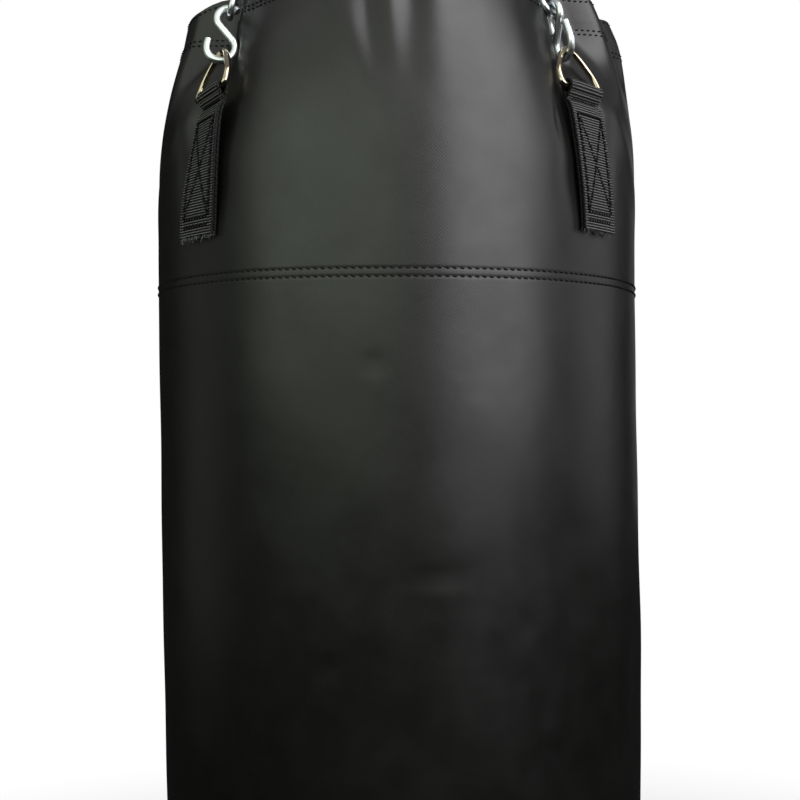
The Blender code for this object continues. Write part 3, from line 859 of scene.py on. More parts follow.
def build_seams():
    """The double row round the bag."""
    step = 360 / STITCHES
    for index, name in enumerate(("seam_stitches_top", "seam_stitches_foot")):
        stitches = []
        for number in range(STITCHES):
            turns = [(number + share) * step for share in STITCH_SHARES]
            ends = [shell_point(azimuth, stitch_rows(azimuth)[SEAM_ROW + index] + lean, -0.0001)
                    for azimuth, lean in zip(turns, (-0.0004, 0.0004))]
            stitches.append((*ends, outward(sum(turns) / 2)))
        sew(name, stitches)


def arc(centre, radius, start, end, steps):
    points = []
    for step in range(steps + 1):
        angle = math.radians(start + (end - start) * step / steps)
        points.append((centre[0] + radius * math.cos(angle), centre[1] + radius * math.sin(angle)))
    return points


def back_radius(depth):
    """How far out the middle of the strap's inner ply lies."""
    depths, radii = zip(*STRAP_BACK)
    return float(np.interp(depth, depths, radii))


def strap_line():
    """The middle of the webbing in its upright plane, as (radius, height): up, over the bar and down."""
    bar = Vector((BAR_RADIUS, RIM_Z - BAR_DEPTH))
    depths = [STRAP_END, 0.180, 0.165, 0.150, 0.137, 0.125, 0.112, 0.1065]
    up = [Vector((back_radius(depth), RIM_Z - depth)) for depth in depths + [0.102, 0.097]]
    over = [Vector(point) for point in arc(bar, D_WIRE / 2 + GAP + PLY / 2, 180, -62, 20)]
    pinch = [Vector((radius, RIM_Z - depth)) for depth, radius in STRAP_PINCH]
    down = [Vector((back_radius(depth) + PLY, RIM_Z - depth)) for depth in reversed(depths)]
    return up + over + pinch + down


def even_points(line, step, rounds=2):
    """Points along a line at even steps, rounded where it bends, with the length so far."""
    for _ in range(rounds):
        line = [line[0], *cut_corners(line), line[-1]]
    lengths = lengths_along(line)
    count = int(lengths[-1] / step)
    points = []
    index = 0
    for number in range(count + 1):
        at = lengths[-1] * number / count
        while index < len(lengths) - 2 and lengths[index + 1] < at:
            index += 1
        share = (at - lengths[index]) / max(lengths[index + 1] - lengths[index], 1e-9)
        points.append((line[index].lerp(line[index + 1], share), at))
    return points


def strap_frame(name, depth):
    """Which way the webbing faces at a depth, and how far along the bar its middle lies."""
    _, shift, lean, _, _ = STRAP_SET[name]
    face = outward(LEGS[name][0])
    twist = Matrix.Rotation(math.radians(float(strap_turn(name, depth))), 3, "Z")
    across = UP.cross(face)
    middle = across * (shift + lean * (depth - BAR_DEPTH) / (STRAP_END - BAR_DEPTH))
    return face, twist @ across, twist @ face, middle


def webbing_height(share, length):
    """Half the webbing's thickness, with its ribs and the cords of its selvedge: 1 on a rib, 0 beside it."""
    phase = (length / RIB_PITCH) % 1.0
    if abs(share) < SELVEDGE:
        return math.sqrt(max(0.0, 1 - (2 * phase - 1) ** 2))
    place_in = (abs(share) - SELVEDGE) / (1 - SELVEDGE) * CORDS
    cord = min(int(place_in), CORDS - 1)
    bead = (phase + 0.5 * (cord % 2)) % 1.0
    round_across = math.sqrt(max(0.0, 1 - (2 * (place_in - cord) - 1) ** 2))
    return round_across * math.sqrt(max(0.0, 1 - (2 * bead - 1) ** 2))


def build_strap(name, seed):
    """Ribbed webbing doubled over the D-ring, with its box and cross of stitches and its cut end."""
    line = even_points(strap_line(), RIB_PITCH / 8)
    half = STRAP_WIDTH / 2
    step = (1 - SELVEDGE) / CORDS / 4
    edge_shares = [SELVEDGE + step * number for number in range(4 * CORDS)] + [0.998]
    shares = [-share for share in reversed(edge_shares)] + [-0.6, -0.3, 0.0, 0.3, 0.6] + edge_shares
    profile = [(share, 1) for share in shares] + [(share, -1) for share in reversed(shares)]
    points, uv = [], []
    for index, (here, length) in enumerate(line):
        before, after = line[max(index - 1, 0)][0], line[min(index + 1, len(line) - 1)][0]
        along = (after - before).normalized()
        normal = Vector((along.y, -along.x))
        face, across, out, middle = strap_frame(name, RIM_Z - here.y)
        for share, side in profile:
            thick = PLY / 2 - PLY_GAP - RIB_HEIGHT * (1 - webbing_height(share, length))
            edge = half * share
            spot = normal * (thick * side)
            points.append(face * here.x + middle + out * spot.x + across * edge + UP * (here.y + spot.y))
            uv.append((edge, length))
    tube = len(line), len(profile)
    faces = grid_faces(*tube) + end_faces(*tube)
    add(f"webbing_{name}", points, faces, [WEBBING], replaces=[f"strap_{name}"], slot="webbing", uv=uv)
    sew_box(name)
    fray(name, seed)


def strap_spot(name, side, depth):
    """A point on the webbing's face, and the way out of it."""
    face, across, out, middle = strap_frame(name, depth)
    depths, radii = zip(*STRAP_PINCH)
    radius = back_radius(depth) + PLY if depth > depths[-1] else float(np.interp(depth, depths, radii))
    radius += PLY / 2 - STITCH_SINK
    return face * radius + middle + across * side + UP * (RIM_Z - depth), out


def sew_box(name):
    """The box and cross of stitches through the strap, with heavier rows under its loop and at its foot."""
    edge = STRAP_WIDTH / 2 - BOX_EDGE
    corners = [(-edge, BOX_TOP), (edge, BOX_TOP), (edge, BOX_FOOT), (-edge, BOX_FOOT)]
    stitches = []
    for first, last in ((0, 1), (1, 2), (3, 0), (0, 2), (1, 3)):
        start, end = corners[first], corners[last]
        count = int(math.dist(start, end) / BOX_PITCH)
        for number in range(count):
            ends = [strap_spot(name, mix(start[0], end[0], share), mix(start[1], end[1], share))
                    for share in ((number + 0.10) / count, (number + 0.92) / count)]
            stitches.append((ends[0][0], ends[1][0], ends[0][1]))
    sew(f"box_stitches_{name}", stitches, "webbing", BOX_THREAD)
    stitches = []
    count = int(2 * edge / BAR_PITCH)
    for depth in (LOOP_FOOT, BOX_FOOT, BOX_LAST):
        for number in range(count):
            first, last = (mix(-edge, edge, (number + share) / count) for share in (-0.05, 0.88))
            start, out = strap_spot(name, first, depth + BAR_LEAN)
            end, _ = strap_spot(name, last, depth - BAR_LEAN)
            stitches.append((start, end, out))
    sew(f"bar_stitches_{name}", stitches, "webbing", BAR_THREAD)


def fray(name, seed):
    """Loose ends of warp thread along the webbing's cut foot."""
    chance = random.Random(seed)
    face, across, out, middle = strap_frame(name, STRAP_END)
    points, faces = [], []
    for ply in (0.5, 1.5):
        for number in range(FRAY_ENDS):
            side = STRAP_WIDTH * ((number + chance.random()) / FRAY_ENDS - 0.5)
            reach = BAG_RADIUS + GAP + PLY * (ply + chance.uniform(-0.3, 0.3))
            root = face * reach + middle + across * side + UP * (RIM_Z - STRAP_END + 0.0012)
            length = chance.uniform(0.0014, 0.0040 if chance.random() < 0.7 else 0.0065)
            lean = across * chance.uniform(-0.5, 0.5) + out * chance.uniform(-0.02, 0.30)
            way = (lean - UP).normalized()
            curl = (across * chance.uniform(-1, 1) + out * chance.uniform(0.0, 0.5)) * length * 0.3
            faces += shifted(grid_faces(4, 3), len(points))
            for share in (0, 1 / 3, 2 / 3, 1):
                centre = root + way * length * share + curl * share ** 2
                points += circle(centre, FRAY_THREAD * (1 - 0.5 * share), across, out, 3)
    add(f"fray_{name}", points, faces, [WEBBING], slot="webbing", uv=[(0.0, RIB_PITCH / 2)] * len(points))


def wire(points, diameter, closed, finish, sides=16, joint=None):
    """A round wire swept along points of the local XZ plane, with rounded ends or a weld at a point."""
    path = [Vector((x, 0, z)) for x, z in points]
    radii = [diameter / 2] * len(path)
    if not closed:
        first, last = path[0], path[-1]
        start, end = (path[1] - first).normalized(), (path[-2] - last).normalized()
        chamfer = diameter * END_CHAMFER
        path = [first, first + start * chamfer, *path[1:-1], last + end * chamfer, last]
        radii = [diameter / 2 - chamfer, *radii, diameter / 2 - chamfer]
    if joint is not None:
        reach = diameter * WELD_REACH
        radii = [radius * (1 + WELD_SWELL * float(hump((here - Vector(joint)).length, reach)))
                 for radius, here in zip(radii, path)]
    normal = Vector((0, 1, 0))
    count = len(path)
    verts = []
    for index, here in enumerate(path):
        before = path[index - 1] if closed or index else here
        after = path[(index + 1) % count] if closed or index < count - 1 else here
        along = ((here - before).normalized() + (after - here).normalized()).normalized()
        verts += circle(here, radii[index], normal.cross(along), normal, sides)
    faces = grid_faces(count, sides, ring=closed)
    if not closed:
        faces += end_faces(count, sides, True)
    data = new_mesh("wire", verts, faces, [finish])
    data.shade_smooth()
    if not closed:
        data.set_sharp_from_angle(angle=math.radians(35))
    return data


def stand(centre, up, normal):
    """Stands a shape's Z along up and its Y along normal, at a centre."""
    up = up.normalized()
    normal = (normal - normal.dot(up) * up).normalized()
    side = normal.cross(up)
    return Matrix.Translation(centre) @ Matrix((side, normal, up)).transposed().to_4x4()


def d_ring_path():
    """The D-ring's wire: a straight bar, tight corners, and sides that bow out to a round crown."""
    corner = (D_HALF_BAR - D_CORNER + D_WIRE / 2 - 0.0025, D_CORNER)
    crown = D_REACH + (WIRE_PLAY + D_WIRE) / 2
    low = arc(corner, D_CORNER, -90, 0, 8)
    right = [(0.0, 0.0), (low[0][0] / 2, 0.0), *low, *D_SIDE, (0.0, crown)]
    return [tuple(point) for point in even_ring(right + [(-x, z) for x, z in reversed(right[1:-1])], 110)]


def even_ring(points, count):
    """A closed flat line through points, eased and cut into even steps."""
    ring = [Vector(point) for point in points]
    for _ in range(2):
        ring = cut_corners(ring + ring[:1])
    ring.append(ring[0])
    lengths = lengths_along(ring)
    steps = np.arange(count) / count * lengths[-1]
    across = np.interp(steps, lengths, [point.x for point in ring])
    up = np.interp(steps, lengths, [point.y for point in ring])
    return [(float(x), float(z)) for x, z in zip(across, up)]


def s_hook_path(tip, open_top):
    """The hook's wire from its lower tip to its upper one, which may stop short of closing its loop."""
    half = (S_INSIDE + WIRE_PLAY) / 2
    low, high = S_LOOP + S_WIRE / 2, S_TOP_LOOP + S_WIRE / 2
    low_middle, high_middle = half - S_LOOP, half - S_TOP_LOOP
    slant = math.degrees(math.asin((low + high) / (low_middle + high_middle)))
    tips = [(-low, -low_middle + tip), (-low, -low_middle + tip / 2)]
    lower = tips + arc((0, -low_middle), low, 180, 360 + slant, 30)
    upper = arc((0, -high_middle), high, 180 + open_top, 360 + slant, 24)
    if not open_top:
        upper = [(-high, -high_middle + tip), (-high, -high_middle + tip / 2)] + upper
    return lower + [(-x, -z) for x, z in reversed(upper)]


def link_path():
    radius = (LINK_INSIDE_WIDTH + LINK_WIRE) / 2
    half = (LINK_PITCH + WIRE_PLAY - LINK_INSIDE_WIDTH) / 2
    sides = [mix(half, -half, step / 12) for step in range(1, 12)]
    path = arc((0, half), radius, 0, 180, 14) + [(-radius, z) for z in sides]
    return path + arc((0, -half), radius, 180, 360, 14) + [(radius, -z) for z in sides]


def knee(top, foot, upper, lower):
    """Where a chain bends out over the rim: its two lengths meet there, in the leg's upright plane."""
    reach = top - foot
    along = reach.normalized()
    level = Vector((foot.x - top.x, foot.y - top.y, 0)).normalized()
    out = (level - level.dot(along) * along).normalized()
    share = (reach.length_squared + lower ** 2 - upper ** 2) / (2 * reach.length)
    return foot + along * share + out * math.sqrt(lower ** 2 - share ** 2)


def leg_line(name):
    """A chain's top and bend, the middle of its D-ring's bar, and the ways up its two lengths."""
    azimuth, seat, _, _ = LEGS[name]
    seat = math.radians(seat)
    core = Vector((math.sin(seat), 0, -math.cos(seat))) * (RING_INSIDE + RING_WIRE / 2)
    core += UP * RING_Z
    rise = RING_WIRE / 2 + WIRE_PLAY
    bar = outward(azimuth) * BAR_RADIUS + UP * (RIM_Z - BAR_DEPTH)
    lower = D_REACH + S_INSIDE + LINK_PITCH
    bend = knee(core, bar, LINKS_ABOVE_KNEE * LINK_PITCH - rise, lower)
    up_high = (core - bend).normalized()
    return core + up_high * rise, bend, bar, up_high, (bend - bar).normalized()


def hook_way(name):
    """The way that a hook's flat side faces, before its own turn."""
    azimuth, _, _, across = LEGS[name]
    up_low = leg_line(name)[4]
    way = Vector((0, 1, 0)) if across else UP.cross(outward(azimuth))
    return (way - way.dot(up_low) * up_low).normalized()


def hook_wire(name):
    return s_hook_path(LEGS[name][2], HOOK_OPEN.get(name, 0))


def hook_place(name):
    _, _, bar, _, up_low = leg_line(name)
    way = hook_way(name)
    if way.cross(up_low).dot(outward(LEGS[name][0])) >= 0:
        way = -way
    where = stand(bar + up_low * (D_REACH + S_INSIDE / 2), up_low, way)
    return where @ Matrix.Rotation(math.radians(HOOK_TURN.get(name, 0)), 4, "Z")


def link_place(name, number):
    """Where a link stands: a quarter turn, and a share of the chain's twist, from the link above it."""
    top, bend, _, up_high, up_low = leg_line(name)
    carry = up_high.rotation_difference(up_low)
    first = Vector((1, 0, 0))
    first = (first - first.dot(up_high) * up_high).normalized()
    way = hook_way(name)
    start = carry @ first
    twist = math.atan2(start.cross(way).dot(up_low), start.dot(way))
    if abs(twist) > math.pi / 2:
        twist -= math.copysign(math.pi, twist)
    steps = LINKS_ABOVE_KNEE + 1
    normal = Matrix.Rotation((number - 1) * (math.pi / 2 + twist / steps), 3, up_high) @ first
    if number < steps:
        return stand(top - up_high * LINK_PITCH * (number - 0.5), up_high, normal)
    return stand(bend - up_low * LINK_PITCH / 2, up_low, carry @ normal)


def hanging_points():
    """Azimuth, depth, distance from the axis and half thickness along the hooks' and lowest links' wire."""
    rows = []
    for name in LEGS:
        low_link = link_place(name, LINKS_ABOVE_KNEE + 1)
        pieces = (hook_place(name), hook_wire(name), S_WIRE / 2), (low_link, link_path(), LINK_WIRE / 2)
        for where, path, half in pieces:
            for point, _ in even_points([Vector((x, 0, z)) for x, z in path], 0.0025, 0):
                spot = where @ point
                azimuth = math.degrees(math.atan2(spot.x, -spot.y))
                rows.append((azimuth, RIM_Z - spot.z, math.hypot(spot.x, spot.y), half))
    return np.array(rows).T


def build_leg(name, link_mesh, d_mesh):
    """One chain with its S-hook and D-ring, from the ring down to the strap."""
    for number in range(1, LINKS_ABOVE_KNEE + 2):
        where = link_place(name, number)
        node = f"chain_{name}_link_{number}"
        place(f"link_{name}_{number}", link_mesh, where, replaces=[node])
    hook = wire(hook_wire(name), S_WIRE, False, HOOK_ZINC)
    place(f"hook_{name}", hook, hook_place(name), replaces=[f"s_hook_{name}"])
    out = outward(LEGS[name][0])
    tangent = UP.cross(out)
    _, _, bar, _, up_low = leg_line(name)
    _, _, _, ring_turn, ring_shift = STRAP_SET[name]
    turn = Matrix.Rotation(math.radians(ring_turn), 3, up_low)
    where = stand(bar + tangent * ring_shift, up_low - up_low.dot(tangent) * tangent, turn @ out)
    place(f"d_wire_{name}", d_mesh, where, replaces=[f"d_ring_{name}"])


def turned(profile, columns, limit=None):
    """Points and faces of a profile (radius, height) turned about Z, cut off at a limit for each angle."""
    points = []
    for radius, height in profile:
        for column in range(columns):
            angle = math.tau * column / columns
            reach = min(radius, limit(angle)) if limit else radius
            points.append(Vector((reach * math.sin(angle), -reach * math.cos(angle), height)))
    return points, grid_faces(len(profile), columns)


def bearing(spot):
    return math.atan2(spot[1], spot[0])


def mirrored(half):
    """An outline made of one half and its mirror image."""
    return half + [(-across, along) for across, along in reversed(half)]


def build_bow():
    """The bow on the ceiling hook, and the cross piece that the shank turns in."""
    reach = BOW_HALF_WIDTH + BOW_WIRE / 2
    crown = BOW_WIRE / 2 - reach
    foot = CROSS_TOP - CROSS_THICK / 2
    leg = [(reach, foot), (reach, (foot + crown) / 2)]
    path = leg + arc((0, crown), reach, 0, 180, 40) + [(-x, z) for x, z in reversed(leg)]
    bow = wire(path, BOW_WIRE, False, FORGED_ZINC, 24)
    place("bow", bow, Matrix.Identity(4), "hanger", ["swivel_bow"])

    half = reach + BOW_WIRE / 2 + CROSS_OVERHANG
    plate = mirrored(arc((half - CROSS_WIDTH / 2, 0), CROSS_WIDTH / 2, -90, 90, 20))
    bore = arc((0, 0), CROSS_BORE, 0, 360, len(plate))[:-1]
    rings = [(bore, 0), (plate, 0), (plate, CROSS_THICK), (bore, CROSS_THICK), (bore, 0)]
    points = [(*spot, CROSS_TOP - drop) for ring, drop in rings for spot in sorted(ring, key=bearing)]
    faces = grid_faces(len(rings), len(plate))
    soften(weld(add("bow_cross", points, faces, [FORGED_ZINC], "hanger", slot="forged_zinc")), 0.0012)


def soften(piece, width, segments=3, angle=30):
    """Rounds a piece's edges."""
    step = piece.modifiers.new("soften", "BEVEL")
    step.width = width
    step.segments = segments
    step.limit_method = "ANGLE"
    step.angle_limit = math.radians(angle)
    piece.data.set_sharp_from_angle(angle=math.radians(angle))
    return piece


def build_swivel():
    """The washer on the cross piece, the nut and the eye that turn in it, and the chains' ring."""
    low = CROSS_TOP + GAP
    high = low + WASHER_THICK
    bore = SHANK_RADIUS + GAP
    washer = [(bore, low), (WASHER_RADIUS, low), (WASHER_RADIUS, high), (bore, high), (bore, low)]
    ring = add("washer", *turned(washer, 48), [FORGED_ZINC], "hanger", ["thrust_washer"], "forged_zinc")
    soften(weld(ring), 0.0003)

    low = high + GAP
    high = low + NUT_THICK
    build_nut(low, high)
    path = arc((0, 0), EYE_INSIDE + EYE_WIRE / 2, 0, 355, 71)
    where = Matrix.Translation((0, 0, EYE_Z)) @ Matrix.Rotation(math.pi / 2, 4, "Z")
    place("eye", wire(path, EYE_WIRE, True, FORGED_ZINC, 24), where, "swivel", ["swivel_eye"])
    sunk = EYE_Z + EYE_INSIDE + EYE_WIRE / 4
    neck = [(0.0001, sunk), (SHANK_RADIUS + 0.0018, sunk), (SHANK_RADIUS + 0.0006, sunk + 0.0030),
            (SHANK_RADIUS, sunk + 0.0042), (SHANK_RADIUS, high + 0.0008),
            (SHANK_RADIUS - 0.0006, high + 0.0018), (SHANK_RADIUS - 0.0020, high + 0.0024),
            (0.0001, high + 0.0024)]
    add("shank", *turned(neck, 32), [FORGED_ZINC], "swivel", slot="forged_zinc")

    path = arc((0, 0), RING_INSIDE + RING_WIRE / 2, 0, 357, 119)
    ring = wire(path, RING_WIRE, True, CHAIN_ZINC, 20, (0, 0, RING_INSIDE + RING_WIRE / 2))
    place("gather_ring", ring, Matrix.Translation((0, 0, RING_Z)), "ring", ["master_ring"])


def weld(piece):
    mend(piece.data, True)
    return piece


def hexagon(angle):
    """How far out the nut's flats lie at an angle."""
    to_corner = abs((math.degrees(angle) + 30) % 60 - 30)
    return NUT_RADIUS * math.cos(math.radians(30)) / math.cos(math.radians(30 - to_corner))


def build_nut(low, high):
    """A hexagon nut with rounded corners top and bottom."""
    foot = [(0.86, low), (0.95, low + 0.0004), (1.0, low + 0.0014)]
    top = [(1.0, high - 0.0014), (0.95, high - 0.0004), (0.86, high)]
    bore = SHANK_RADIUS + 0.0001
    profile = [(bore, low), *((NUT_RADIUS * share, height) for share, height in foot + top), (bore, high)]
    faces = turned(profile, 48, hexagon)
    nut = add("nut", *faces, [FORGED_ZINC], "swivel", ["swivel_nut"], "forged_zinc")
    nut.data.set_sharp_from_angle(angle=math.radians(25))


def build_lid():
    """The two lid halves with their folded zip edges and soft wrinkles."""
    outside = BAG_RADIUS - SHELL_THICK - SHELL_EASE - COLLAR_THICK - GAP
    turned_down = (0.0004, 0.0045, COLLAR_FOOT - LID_DEPTH)
    for name, side in ZIP_SIDES:
        points, uv = [], []
        for row in range(LID_ROWS):
            down = row - LID_ROWS + 3
            for column in range(LID_COLUMNS):
                angle = math.pi * (column + 0.5) / LID_COLUMNS
                reach = outside * min(row / (LID_ROWS - 4), 1.0)
                x = reach * math.cos(angle)
                y = max(LID_SLOT, reach * math.sin(angle))
                x = math.copysign(min(abs(x), math.sqrt(outside ** 2 - y ** 2)), x)
                away = math.hypot(x, y) / outside
                rise = LID_RISE * smooth((y - 0.016) / 0.030) * smooth((1 - away) / 0.25)
                rise *= 1 + LID_WRINKLE * math.sin(x * 61 + y * 23) * math.sin(y * 87 - x * 31 + 1.0)
                height = LID_TOP + rise if down < 0 else LID_TOP - turned_down[down]
                points.append(Vector((x, side * y, height)))
                uv.append((x, y + max(down + 1, 0) * 0.004))
        faces = grid_faces(LID_ROWS, LID_COLUMNS, False, side > 0)
        node = f"lid_{name}"
        lid = add(f"lid_canvas_{name}", points, faces, [CANVAS], replaces=[node], slot="canvas", uv=uv)


def build_zip():
    """The tapes with their rows of stitches, and the teeth."""
    low, high = LID_TOP + TAPE_LOW, LID_TOP + TAPE_LOW + TAPE_THICK
    outline = [(0.0012, low), (0.0012, high), (0.0075, high + 0.0001), (TAPE_WIDTH - 0.0004, high),
               (TAPE_WIDTH, (low + high) / 2), (TAPE_WIDTH - 0.0004, low)]
    steps = 60
    count = int(2 * ZIP_HALF_LENGTH / TAPE_PITCH)
    for name, side in ZIP_SIDES:
        points, uv = [], []
        for step in range(steps + 1):
            x = mix(-ZIP_HALF_LENGTH, ZIP_HALF_LENGTH, step / steps)
            points += [Vector((x, side * y, z)) for y, z in outline]
            uv += [(y, x) for y, _ in outline]
        tube = steps + 1, len(outline)
        faces = grid_faces(*tube, flip=side < 0) + end_faces(*tube, side < 0)
        add(f"tape_{name}", points, faces, [TAPE], replaces=[f"zip_tape_{name}"], slot="zip_tape", uv=uv)
        stitches = []
        for row in TAPE_ROWS:
            for number in range(count):
                shares = ((number + share) / count for share in (0.12, 0.88))
                places = (mix(-ZIP_HALF_LENGTH, ZIP_HALF_LENGTH, share) for share in shares)
                stitches.append((*(Vector((x, side * row, high)) for x in places), UP))
        sew(f"tape_stitches_{name}", stitches, "zip_tape", TAPE_THREAD)
        build_teeth(name, side)


def build_teeth(name, side):
    points, faces = [], []
    count = int(2 * (ZIP_HALF_LENGTH - TEETH_STOP) / TOOTH_PITCH)
    section = [(0.0008, 0.62), (0.0022, 0.40), (0.0030, 0.52), (0.0040, 0.42)]
    outline = [(y, half * TOOTH_PITCH / 2) for y, half in section]
    outline += [(y, -along) for y, along in reversed(outline)]
    tube = 2, len(outline)
    for number in range(count):
        x = (number - (count - 1) / 2 + 0.25 * side) * TOOTH_PITCH
        faces += shifted(grid_faces(*tube) + end_faces(*tube, True), len(points))
        for height in (TOOTH_LOW, TOOTH_HIGH):
            points += [Vector((x + along, side * y, LID_TOP + height)) for y, along in outline]
    teeth = add(f"teeth_{name}", points, faces, [TEETH], slot="zip_tape")
    soften(weld(teeth), 0.0003, 2)


def both_sides(half):
    """An outline (along, across) made of one half and its mirror image, starting from the last point."""
    whole = half + [(along, -across) for along, across in reversed(half)]
    return whole[-1:] + whole[:-1]


def slider_part(name, outline, axis, half, width, replaces=()):
    """One part of the slider, with its edges rounded."""
    at = (SLIDER_START, 0, LID_TOP)
    soften(extrude(name, outline, axis, half, ZIP_METAL, "slider", replaces, "zip_metal", at), width)


def extrude(name, outline, axis, half, finish, body, replaces=(), slot=None, centre=(0, 0, 0)):
    """A prism with an outline (y, z) along X, or (x, z) along Y."""
    points = []
    for level in (-half, half):
        for u, v in outline:
            points.append(Vector((level, u, v) if axis == "X" else (u, level, v)) + Vector(centre))
    count = len(outline)
    faces = grid_faces(2, count, True) + [tuple(range(count)), tuple(range(count, 2 * count))]
    return weld(add(name, points, faces, [finish], body, replaces, slot))


def build_slider():
    """The slider's body and bail, and the pull that hangs in it."""
    half = [(0.0012, 0.0046), (0.0060, 0.0046), (0.0065, 0.0042), (0.0065, 0.0017), (0.0044, 0.0017),
            (0.0042, 0.0029)]
    slider_part("slider_body", mirrored(half), "X", 0.0072, 0.0006, ["zip_slider"])
    keel = [(-0.0033, -0.0032), (0.0033, -0.0032), (0.0033, -0.0020), (0.0004, -0.0020), (0.0004, 0.0031),
            (-0.0004, 0.0031), (-0.0004, -0.0020), (-0.0033, -0.0020)]
    slider_part("slider_keel", keel, "X", 0.0066, 0.0003)
    arch = [(-0.0048, 0.0044), (-0.0048, 0.0070), (-0.0038, 0.0080), (0.0038, 0.0080), (0.0048, 0.0070),
            (0.0048, 0.0044), (0.0032, 0.0044), (0.0032, 0.0066), (-0.0032, 0.0066), (-0.0032, 0.0044)]
    slider_part("slider_bail", arch, "Y", 0.0010, 0.0004)

    hinge = Vector((SLIDER_START, 0, LID_TOP + HINGE_RISE))
    thick = PULL_HALF_THICK
    outer = both_sides([(0.0004, 0.0024), (-0.0200, 0.0020), (-0.0240, 0.0026), (-0.0290, 0.0026),
                        (-0.0300, 0.0016)])
    window = both_sides([(-0.0010, 0.0013), (-0.0078, 0.0013), (-0.0080, 0.0011), (-0.0082, 0.0009),
                         (-0.0082, 0.0005)])
    rings = [(window, thick), (outer, thick), (outer, -thick), (window, -thick), (window, thick)]
    points = [Vector((*spot, level)) + hinge for ring, level in rings for spot in ring]
    faces = grid_faces(len(rings), len(outer))
    soften(weld(add("pull_tab", points, faces, [ZIP_METAL], "pull", ["zip_pull"], "zip_metal")), 0.0003)


def build_collar():
    """The collar's canvas, which follows the shell."""
    columns = 360
    azimuths = np.arange(0.0, columns)
    ways = directions(azimuths)
    outside = BAG_RADIUS - SHELL_THICK - SHELL_EASE
    depths = np.linspace(COLLAR_TOP, COLLAR_FOOT, 10)
    rows, uv = [], []
    sides = [(depth, 0.0) for depth in depths[::-1]] + [(depth, COLLAR_THICK) for depth in depths]
    for depth, inset in sides:
        edge = COLLAR_EDGE if depth == COLLAR_TOP else 0.0
        shell = surface_radius(azimuths, depth) - SHELL_THICK - 2 * GAP
        radius = np.minimum(outside, shell) - inset
        rows.append(np.column_stack([ways * radius[:, None], np.full(columns, RIM_Z - depth - edge)]))
        uv.append(np.column_stack([azimuths / 360 * math.tau * outside, np.full(columns, depth - inset)]))
    add("collar_canvas", np.concatenate(rows), grid_faces(len(rows), columns), [CANVAS],
        replaces=["inner_collar"], slot="canvas", uv=np.concatenate(uv), around=math.tau * outside)


def build_foot():
    """The bottom panel with its soft crown and its ring of stitches, and the filling's material."""
    outside = FOOT_RADIUS - FOOT_INSET
    level = FOOT_Z + 0.0003
    points, faces = turned([(outside * share, 0.0) for share in FOOT_SHARES], 180)
    for point in points:
        reach = math.hypot(point.x, point.y)
        share = reach / outside
        groove = 0.0005 * hump(reach - outside * FOOT_SEAM, 0.0014) + 0.0006 * (share > 0.99)
        wave = 0.0003 * math.sin(point.x * 47 + 1) * math.sin(point.y * 39 + 2) * smooth((1 - share) / 0.2)
        point.z = level + FOOT_CROWN * share ** 3 + groove + wave
    uv = [(point.x, point.y) for point in points]
    panel = add("foot_panel", points, faces, [VINYL], replaces=["bottom_panel"], slot="vinyl", uv=uv)
    height = level + FOOT_CROWN * FOOT_SEAM ** 3 + 0.0003
    stitches = []
    for number in range(FOOT_STITCHES):
        ends = [outward((number + share) * 360 / FOOT_STITCHES) * (outside * FOOT_SEAM) + UP * height
                for share in (0.13, 0.87)]
        stitches.append((*ends, -UP))
    sew("foot_stitches", stitches)
    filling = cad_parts["textile_filling"].data.materials
    filling.clear()
    filling.append(FILLING)


def build_floor():
    """A pale floor under the hanging bag that meets the white backdrop far away."""
    sides = 96
    centre = UP * (FOOT_Z - FLOOR_DROP)
    points = [centre] + circle(centre, FLOOR_RADIUS, Vector((1, 0, 0)), Vector((0, 1, 0)), sides)
    made = Shader("pale_floor")
    made.set(Roughness=0.9, Specular_IOR_Level=0.1)
    made.colour(made.noise(1.2, 2.0), grey(0.86), grey(0.90))
    where = made.node("TexCoord").outputs["Object"]
    length = made.node("VectorMath", {0: where}, operation="LENGTH").outputs["Value"]
    far = made.span(length, 0.0, 1.0, *FLOOR_FADE, "SMOOTHSTEP")
    share = made.math("MULTIPLY", far, made.node("LightPath").outputs["Is Camera Ray"])
    blend = made.mix(share, made.shader.outputs[0], made.node("Emission").outputs[0])
    made.feed(made.tree.nodes["Material Output"].inputs["Surface"], blend)
    faces = [(0, n + 1, (n + 1) % sides + 1) for n in range(sides)]
    floor = put("floor", new_mesh("floor", points, faces, [made.material]))
    floor.visible_glossy = False


def lamp(name, where, at, width, height, power, colour=(1, 1, 1)):
    data = bpy.data.lights.new(name, "AREA")
    data.shape = "RECTANGLE"
    data.size, data.size_y = width, height
    data.energy = power
    data.color = colour
    light = put(name, data)
    light.location = where
    light.rotation_mode = "QUATERNION"
    light.rotation_quaternion = (Vector(at) - Vector(where)).to_track_quat("-Z", "Y")
    light.visible_camera = False


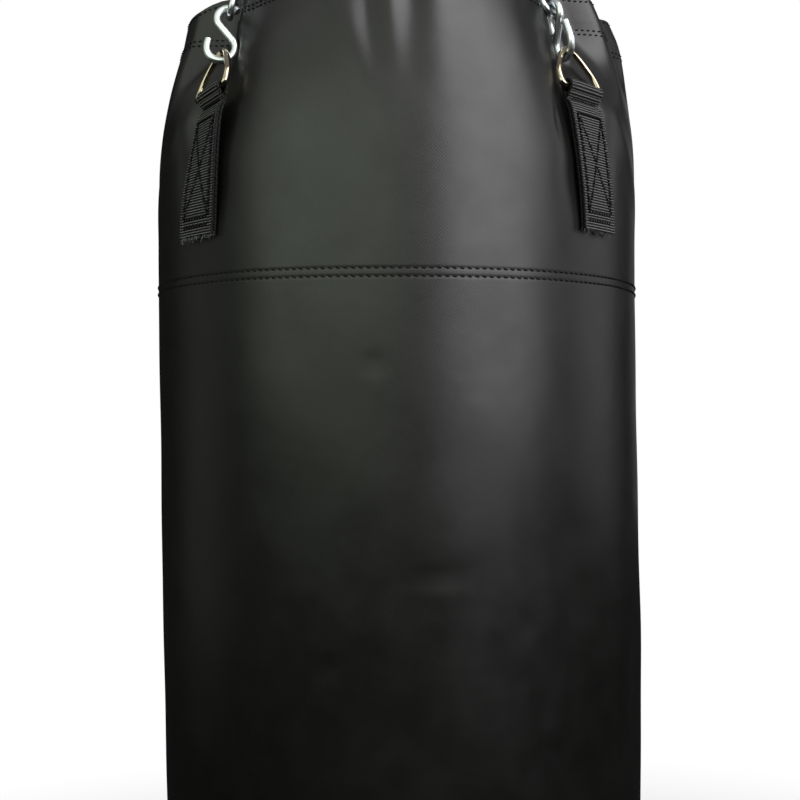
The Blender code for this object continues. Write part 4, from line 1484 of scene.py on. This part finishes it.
def light_room():
    """Soft boxes, and a world that is white to the camera, a bright ceiling in gloss, and dim as a light."""
    lamp("key", (1.42, -1.60, 0.02), (0, 0, -0.60), 1.75, 1.3, 28.5, (1.0, 0.985, 1.01))
    lamp("high_key", (1.02, -1.14, 1.24), (0, 0, -0.05), 1.5, 1.45, 28, (1.0, 0.985, 1.01))
    lamp("fill", (-1.13, -1.96, 0.05), (0, 0, -0.62), 3.2, 1.3, 21, (0.89, 1.0, 0.84))
    lamp("high_fill", (-0.88, -1.26, 1.24), (0, 0, -0.05), 3.0, 1.4, 8, (0.93, 1.0, 0.88))
    lamp("side", (2.10, 0.25, -0.15), (0, 0, -0.60), 1.2, 1.5, 4.5)
    lamp("edge", (1.05, 1.80, -0.20), (0, 0, -0.65), 0.5, 1.6, 0.9)
    lamp("left", (-2.15, 0.20, -0.40), (0, 0, -0.60), 1.2, 1.8, 1.5, (0.93, 1.0, 0.88))
    lamp("rear", (0.0, 2.20, -0.70), (0, 0, -0.75), 0.55, 2.2, 14)
    lamp("high_rear", (0.0, 1.70, 1.30), (0, 0, -0.30), 0.5, 1.2, 3)
    world = bpy.data.worlds.new("room")
    world.use_nodes = True
    world.node_tree.nodes.clear()
    bpy.context.scene.world = world
    room = Nodes(world.node_tree)
    ray = room.node("LightPath").outputs
    split = room.node("SeparateXYZ", {0: room.node("TexCoord").outputs["Generated"]})
    ceiling = room.span(split.outputs[2], 0.015, 0.30, 0.35, 0.85, "SMOOTHSTEP")
    behind = room.span(split.outputs[1], 0.015, 0.45, 0.965, 0.998, "SMOOTHSTEP")
    gloss = room.node("Background", {"Strength": room.math("MAXIMUM", ceiling, behind)}).outputs[0]
    dim, white = (room.node("Background", {0: (*grey(level), 1)}).outputs[0] for level in (0.05, 1.0))
    lit = room.mix(ray["Is Glossy Ray"], dim, gloss)
    seen = room.math("MAXIMUM", ray["Is Camera Ray"], ray["Is Transmission Ray"])
    room.node("OutputWorld", {0: room.mix(seen, lit, white)})
    bpy.context.scene.view_settings.view_transform = "Standard"


def place_camera():
    data = bpy.data.cameras.new("camera")
    camera = put("camera", data)
    data.sensor_width = 36.0
    data.lens = 36.0 * VIEW_FOCAL / VIEW_SIDE
    data.shift_x = (VIEW_SIDE / 2 - AXIS_COLUMN) / VIEW_SIDE
    data.shift_y = (HORIZON_ROW - VIEW_SIDE / 2) / VIEW_SIDE
    data.clip_start, data.clip_end = 0.01, 100
    where = Matrix.Translation((0, -CAMERA_DISTANCE, RIM_Z - CAMERA_BELOW_RIM))
    level = Matrix.Rotation(math.pi / 2, 4, "X")
    camera.matrix_world = where @ level @ Matrix.Rotation(math.radians(-CAMERA_ROLL), 4, "Z")
    bpy.context.scene.camera = camera


HANGING_POINTS = hanging_points()
build_shell()
build_hem_rows()
build_seams()
LINK_MESH = wire(link_path(), LINK_WIRE, True, CHAIN_ZINC, 14, (-(LINK_INSIDE_WIDTH + LINK_WIRE) / 2, 0, 0))
D_MESH = wire(d_ring_path(), D_WIRE, True, NICKEL, 16, (0, 0, 0))
for number, leg in enumerate(LEGS):
    build_leg(leg, LINK_MESH, D_MESH)
    build_strap(leg, 7 + number)
build_bow()
build_swivel()
build_lid()
build_zip()
build_slider()
build_collar()
build_foot()
build_floor()
light_room()
place_camera()
